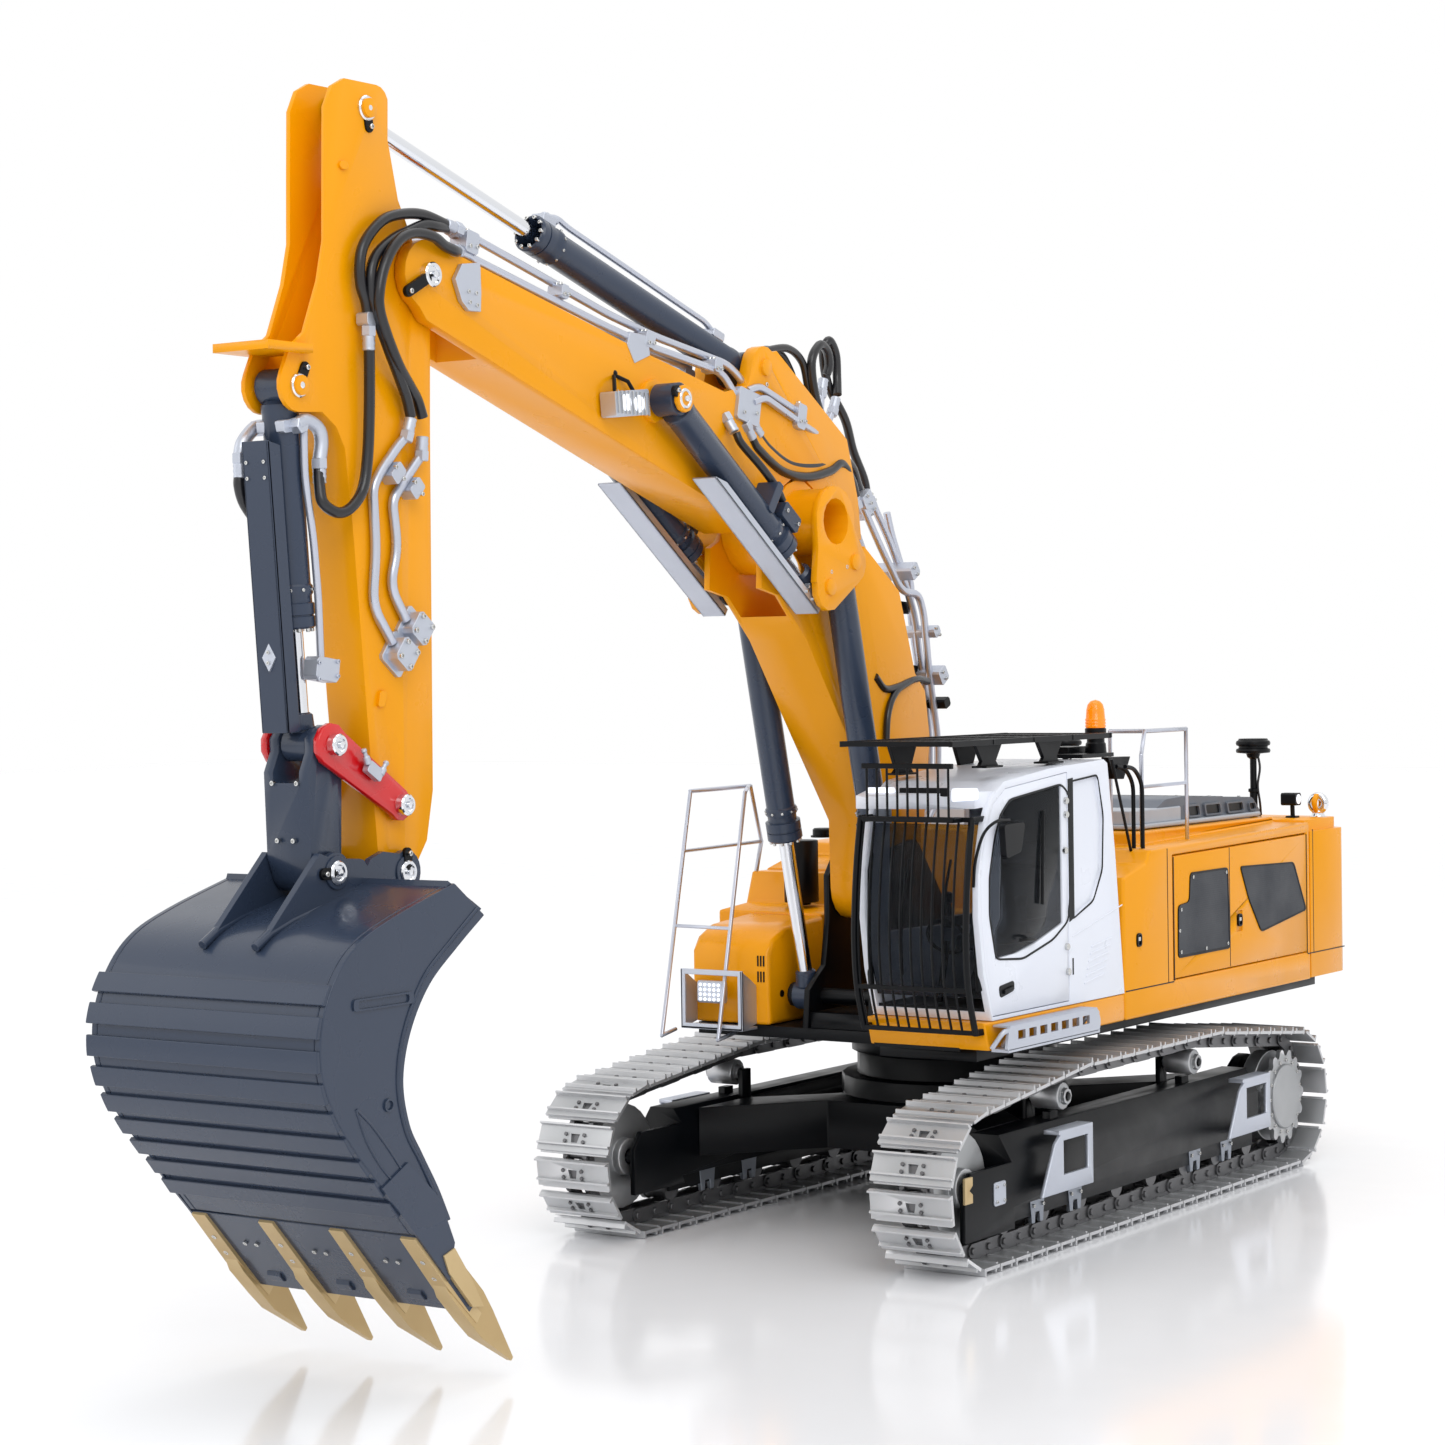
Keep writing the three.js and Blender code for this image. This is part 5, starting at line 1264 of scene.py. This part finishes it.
# Dark lining inside the cab: floor, rear wall, ceiling and the screen's pillars
shape = Shape()
shape.box(44.4, 103.2, -148, -18, 114, 117.4)
shape.prism([(-24, 117), (-20, 117), (-28, 183), (-38, 222), (-42, 222), (-33, 183)], "x", 44.6, 103.2)
shape.prism([(-130, 214.6), (-90, 219.4), (-38, 221.8), (-38, 220.6), (-90, 218), (-130, 213)], "x", 44.6, 103)
for x in (43.6, 101.2):
    curve_bar(shape, [(x + 0.6, y + 12.4, z) for y, z in guard[1:-1]], 1.6)
shape.make("cab_lining", "house", BLACK, 0.4)

# Mirror, visor lamps, black strip and the sensor on the roof
shape, glassy, lamps = Shape(), Shape(), Shape()
shape.tube(smooth([(104, -161, 174), (106, -162.4, 186), (108.4, -159, 198), (110, -150, 203.4), (110.4, -138,
    203.6)]), 0.8, 8)
shape.prism(rounded([(-144.7, 201.8), (-124.5, 202), (-128.6, 188.4), (-142.9, 186)], 2.4), "x", 108.4, 111.4)
glassy.prism(rounded([(-143, 200.4), (-126.4, 200.6), (-130, 189.8), (-141.6, 187.8)], 2), "x", 108.1, 108.5)
shape.make("mirror", "house", BLACK, 0.6)
glassy.make("mirror_glass", "house", CHROME)
for x0, x1 in ((44, 59), (90, 103)):
    lamps.prism(rounded([(x0, 212.4), (x1, 213.4), (x1, 218.8), (x0, 218.6)], 1.4), "y", -155.6, -153.4)
lamps.make("visor_lamps", "house", LAMP, 0.2)
shape = Shape()
shape.prism([(62, 214.4), (88, 214.8), (88, 218.8), (62, 218.6)], "y", -155.4, -153.6)
shape.box(69, 81, -24, -4, 228, 233.6)
shape.make("cab_roof_fittings", "house", BLACK, 0.4)

# Bent exhaust guard and bracket behind the cab
shape = Shape()
shape.prism([(-2.8, 228), (22.2, 227.6), (14.7, 216.4), (4, 216.8)], "x", 88, 92)
shape.make("cab_rear_bracket", "house", BLACK, 0.4)
shape = Shape()
for x in (92, 97):
    shape.tube(bent([(x, 6, 223), (x, 16.2, 221.8), (x, 24.6, 214), (x, 24.6, 175), (x, 16, 171)], 5), 1.1, 10)
shape.tube([(94, -2.8, 227), (95, 14.9, 181), (95, 24.3, 171)], 0.8, 8)
block(shape, (95, 20, 173), (9, 9, 6), 0, 1)
shape.make("cab_rear_tubes", "house", BLACK)

# Step below the door: a boxed tread with square holes and a loop at each end
shape = Shape()
holes = [oblong(y, y + 7, 103.4, 107.4) for y in (-141 + 10.6 * i for i in range(7))]
shape.prism(rounded([(-151.6, 99), (-60, 99), (-58.9, 104), (-62, 110), (-149, 110)], 2), "x", 113.6, 115.2, holes)
shape.box(106, 115.2, -150, -60, 98, 99.6)
shape.box(105.8, 115, -148, -62, 109.2, 110.2)
for y in (-148, -64):
    shape.tube(bent([(108, y - 5, 100), (114, y - 5, 108), (114, y + 5, 108), (108, y + 5, 100)], 3), 1.2, 10)
shape.make("cab_step_boxed", "house", SILVER, 0.25, replaces=["cab_step"])

# Seat: padded cushions on a black base, and the controls
low, high = (Vector(v) / MM - Vector((0, SHIFT, 0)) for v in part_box("seat"))
mid = (low + high) / 2
wide = (high.x - low.x) / 2 - 1


def cushion(name, outline, half):
    shape = Shape()
    shape.prism(rounded(outline, 3, 6), "x", mid.x - half, mid.x + half)
    piece = shape.make(name, "house", SEAT, 2.4)
    piece.modifiers["edges"].segments = 4
    return piece


y0, y1, z0, z1 = low.y, high.y, low.z, high.z
deep, tall = y1 - y0, z1 - z0
back = cushion("seat_back_cushion", [(y1 - deep * 0.34, z0 + tall * 0.42), (y1 - deep * 0.14, z0 + tall * 0.4),
    (y1 - 0.5, z0 + tall * 0.82), (y1 - deep * 0.1, z0 + tall * 0.84), (y1 - deep * 0.26, z0 + tall * 0.78)],
    wide * 0.86)
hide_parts("seat")
cushion("seat_headrest", [(y1 - deep * 0.16, z0 + tall * 0.86), (y1 - 1, z0 + tall * 0.86), (y1 - 0.5, z1),
    (y1 - deep * 0.14, z1)], wide * 0.5)
cushion("seat_cushion", [(y0 + 1, z0 + tall * 0.3), (y1 - deep * 0.2, z0 + tall * 0.3), (y1 - deep * 0.2,
    z0 + tall * 0.4), (y0 + 2, z0 + tall * 0.42)], wide * 0.92)
shape = Shape()
shape.prism(rounded([(y0 + 4, z0), (y1 - 4, z0), (y1 - 8, z0 + tall * 0.3), (y0 + 8, z0 + tall * 0.3)], 2), "x",
    mid.x - wide * 0.6, mid.x + wide * 0.6)
for s in (1, -1):
    x = mid.x + s * (wide + 2.6)
    shape.prism(rounded([(y0 + 4, z0 + tall * 0.46), (y1 - 8, z0 + tall * 0.5), (y1 - 8, z0 + tall * 0.56),
        (y0 + 4, z0 + tall * 0.54)], 1.2), "x", x - 1.8, x + 1.8)
    shape.turn((x, y0 + 6, z0 + tall * 0.54), (x, y0 + 4, z0 + tall * 0.54 + 12), [(0, 1), (6, 1), (7, 1.9), (11,
        2.1), (12, 1.2)], 14)
shape.tube([(mid.x - 3, -136, 118), (mid.x - 3, -131, 146)], 1.5, 10)
shape.tube([(mid.x + 9 * math.cos(t) - 3, -131 - 3 * math.sin(t), 148 + 8 * math.sin(t))
    for t in round_turn(28) + [2 * math.pi]], 0.9, 8)
shape.prism(rounded([(-146, 150), (-143, 150), (-140, 168), (-143, 168)], 1), "x", 92, 100)
shape.make("cab_controls", "house", BLACK, 0.3)
shape = Shape()
for x in (62, 84):
    shape.tube(smooth([(x, -154.6, 132), (x + 1, -156.8, 150), (x + 3, -157.2, 170), (x + 5, -155, 186)]), 0.7, 8)
shape.make("wipers", "house", BLACK)

# ---------------------------------------------------------------- front right: tool box slots, lamp frame and lamp
shape, slots, lens, case = Shape(), Shape(), Shape(), Shape()
for x in (-43.6, -41.9, -40.2):
    for z in (122.4, 130.2):
        slots.prism(oblong(x - 3.2, x - 2.4, z - 2.6, z + 2.6), "y", -112.3, -111.7)
slots.turn((-40.2, -100.7, 113.3), (-39.7, -100.7, 113.3), [(0, 1.8), (0.5, 1.8)], 18)
slots.make("tool_box_slots", "house", BLACK)
outline = oblong(-84.3, -47.5, 96.4, 126.1)
inner = oblong(-81.6, -50.2, 99.2, 123.4)
shape.prism(outline, "y", -125, -123.6, [inner])
for x in (-84.3, -48.7):
    shape.prism([(-125, 96.4), (-112, 99), (-112, 118), (-125, 126.1)], "x", x, x + 1.2)
shape.box(-84.3, -47.5, -125, -111.6, 96.4, 97.8)
shape.make("front_lamp_frame", "house", SILVER, 0.3)
block(case, (-69, -119.4, 114.6), (15, 5, 11), 0, 1)
for i in range(5):
    for j in range(4):
        lens.turn((-74.4 + i * 2.7, -121.8, 111 + j * 2.4), (-74.4 + i * 2.7, -122.6, 111 + j * 2.4), [(0, 0), (0,
            0.9), (0.5, 0.8), (0.7, 0)], 10)
case.make("front_lamp_case", "house", SILVER, 0.4)
lens.make("front_lamp_lenses", "house", LAMP)

# ---------------------------------------------------------------- undercarriage fittings
cover, screws, clips, yoke, sleeves = Shape(), Shape(), Shape(), Shape(), Shape()
for s in (1, -1):
    out = lambda a, b: sorted((s * a, s * b))
    cover.prism(rounded(oblong(-150, -139, 27, 38), 1.6), "x", *out(105.8, 106.7))
    for y, z in ((-148, 29), (-141, 29), (-148, 36), (-141, 36)):
        screws.bolt((s * 106.7, y, z), (s, 0, 0), 1.6, 0.8)
    for y in (-104, -66, 66, 104):
        clip = [(y - 7, 24.5), (y + 7, 24.5), (y + 5.4, 12.6), (y + 2.6, 12.6), (y + 2, 17.6), (y - 2, 17.6),
            (y - 2.6, 12.6), (y - 5.4, 12.6)]
        clips.prism(clip, "x", *out(101.8, 104))
        clips.prism(clip, "x", *out(84, 86.2))
        for k in (-4.6, 4.6):
            screws.bolt((s * 104, y + k, 21), (s, 0, 0), 1.9, 1)
    yoke.prism([(-178, 32), (-171, 32), (-171, 36), (-174, 38), (-171, 40), (-171, 44), (-178, 44)], "x", *out(106,
        107.4))
    for i in range(ROLLERS):
        sleeves.turn((s * 86, -133 + i * ROLLER_PITCH, 17.6), (s * 102, -133 + i * ROLLER_PITCH, 17.6), [(0, 6.2),
            (2.4, 6.2), (2.8, 5.5), (13.2, 5.5), (13.6, 6.2), (16, 6.2)], 24)
    for y in (-CARRIER_Y, CARRIER_Y):
        for t in round_turn(5):
            at = (s * (GAUGE / 2 + 8), y + 3.4 * math.cos(t), CARRIER_Z + 3.4 * math.sin(t))
            screws.bolt(at, (s, 0, 0), 1.3, 0.7)
cover.make("frame_cover_plates", "undercarriage", SILVER, 0.3)
clips.make("track_guides", "undercarriage", GALVANISED, 0.4)
yoke.make("idler_yokes", "undercarriage", BRONZE, 0.3)
sleeves.make("track_rollers", "undercarriage", DARKSTEEL)
screws.make("undercarriage_screws", "undercarriage", BOLT)
shape = Shape()
for t in round_turn(24, 0.5):
    shape.hexagon((37 * math.cos(t), 37 * math.sin(t), 90.6), (37 * math.cos(t), 37 * math.sin(t), 93.6), 1.5)
shape.make("slew_ring_bolts", "undercarriage", BOLT)

# ---------------------------------------------------------------- camera, light and floor
def camera():
    """The camera at the viewing angle: a long lens, low, a third of a turn round to the cab side."""
    azimuth, pitch_angle, roll = math.radians(34.157), math.radians(-1.02), math.radians(-0.851)
    ahead = Vector((-math.sin(azimuth) * math.cos(pitch_angle), math.cos(azimuth) * math.cos(pitch_angle),
        math.sin(pitch_angle)))
    right = Vector((math.cos(azimuth), math.sin(azimuth), 0))
    up = right.cross(ahead)
    across = right * math.cos(roll) + up * math.sin(roll)
    above = up * math.cos(roll) - right * math.sin(roll)
    data = bpy.data.cameras.new("camera")
    data.lens, data.sensor_width, data.clip_start = 77.15, 36, 0.05
    made = bpy.data.objects.new("camera", data)
    bpy.context.scene.collection.objects.link(made)
    made.matrix_world = Matrix((across, above, -ahead)).transposed().to_4x4()
    made.location = world((798.87, -1385.94, 275.55))
    bpy.context.scene.camera = made


def area_light(name, place, target, size, power, colour=(1, 1, 1)):
    data = bpy.data.lights.new(name, "AREA")
    data.shape, data.size, data.energy, data.color = "SQUARE", size, power, colour
    made = bpy.data.objects.new(name, data)
    bpy.context.scene.collection.objects.link(made)
    made.location = place
    made.rotation_euler = (Vector(target) - Vector(place)).to_track_quat("-Z", "Y").to_euler()


def studio():
    """A pale glossy floor in soft light, before white."""
    data = bpy.data.meshes.new("floor")
    r = 6.0
    data.from_pydata([(-r, -r, -0.0002), (r, -r, -0.0002), (r, r, -0.0002), (-r, r, -0.0002)], [], [(0, 1, 2, 3)])
    floor = bpy.data.objects.new("floor", data)
    bpy.context.scene.collection.objects.link(floor)
    finish = material("pale glossy floor", srgb(246, 247, 250), 0.12, grain=3, bump=0.01, uneven=0.01)
    data.materials.append(finish)
    backdrop = bpy.data.worlds.new("white studio")
    bpy.context.scene.world = backdrop
    backdrop.use_nodes = True
    sky = backdrop.node_tree.nodes["Background"]
    sky.inputs["Color"].default_value = (1, 1, 1, 1)
    sky.inputs["Strength"].default_value = 1.0
    area_light("key", (1.5, -1.6, 1.9), (0, 0, 0.2), 1.4, 20)
    area_light("fill", (-1.8, -1.4, 1.0), (0, -0.1, 0.2), 1.6, 5)
    area_light("top", (0.1, 0.2, 2.4), (0, 0, 0), 1.8, 8)
    bpy.context.scene.view_settings.view_transform = "Standard"


camera()
studio()
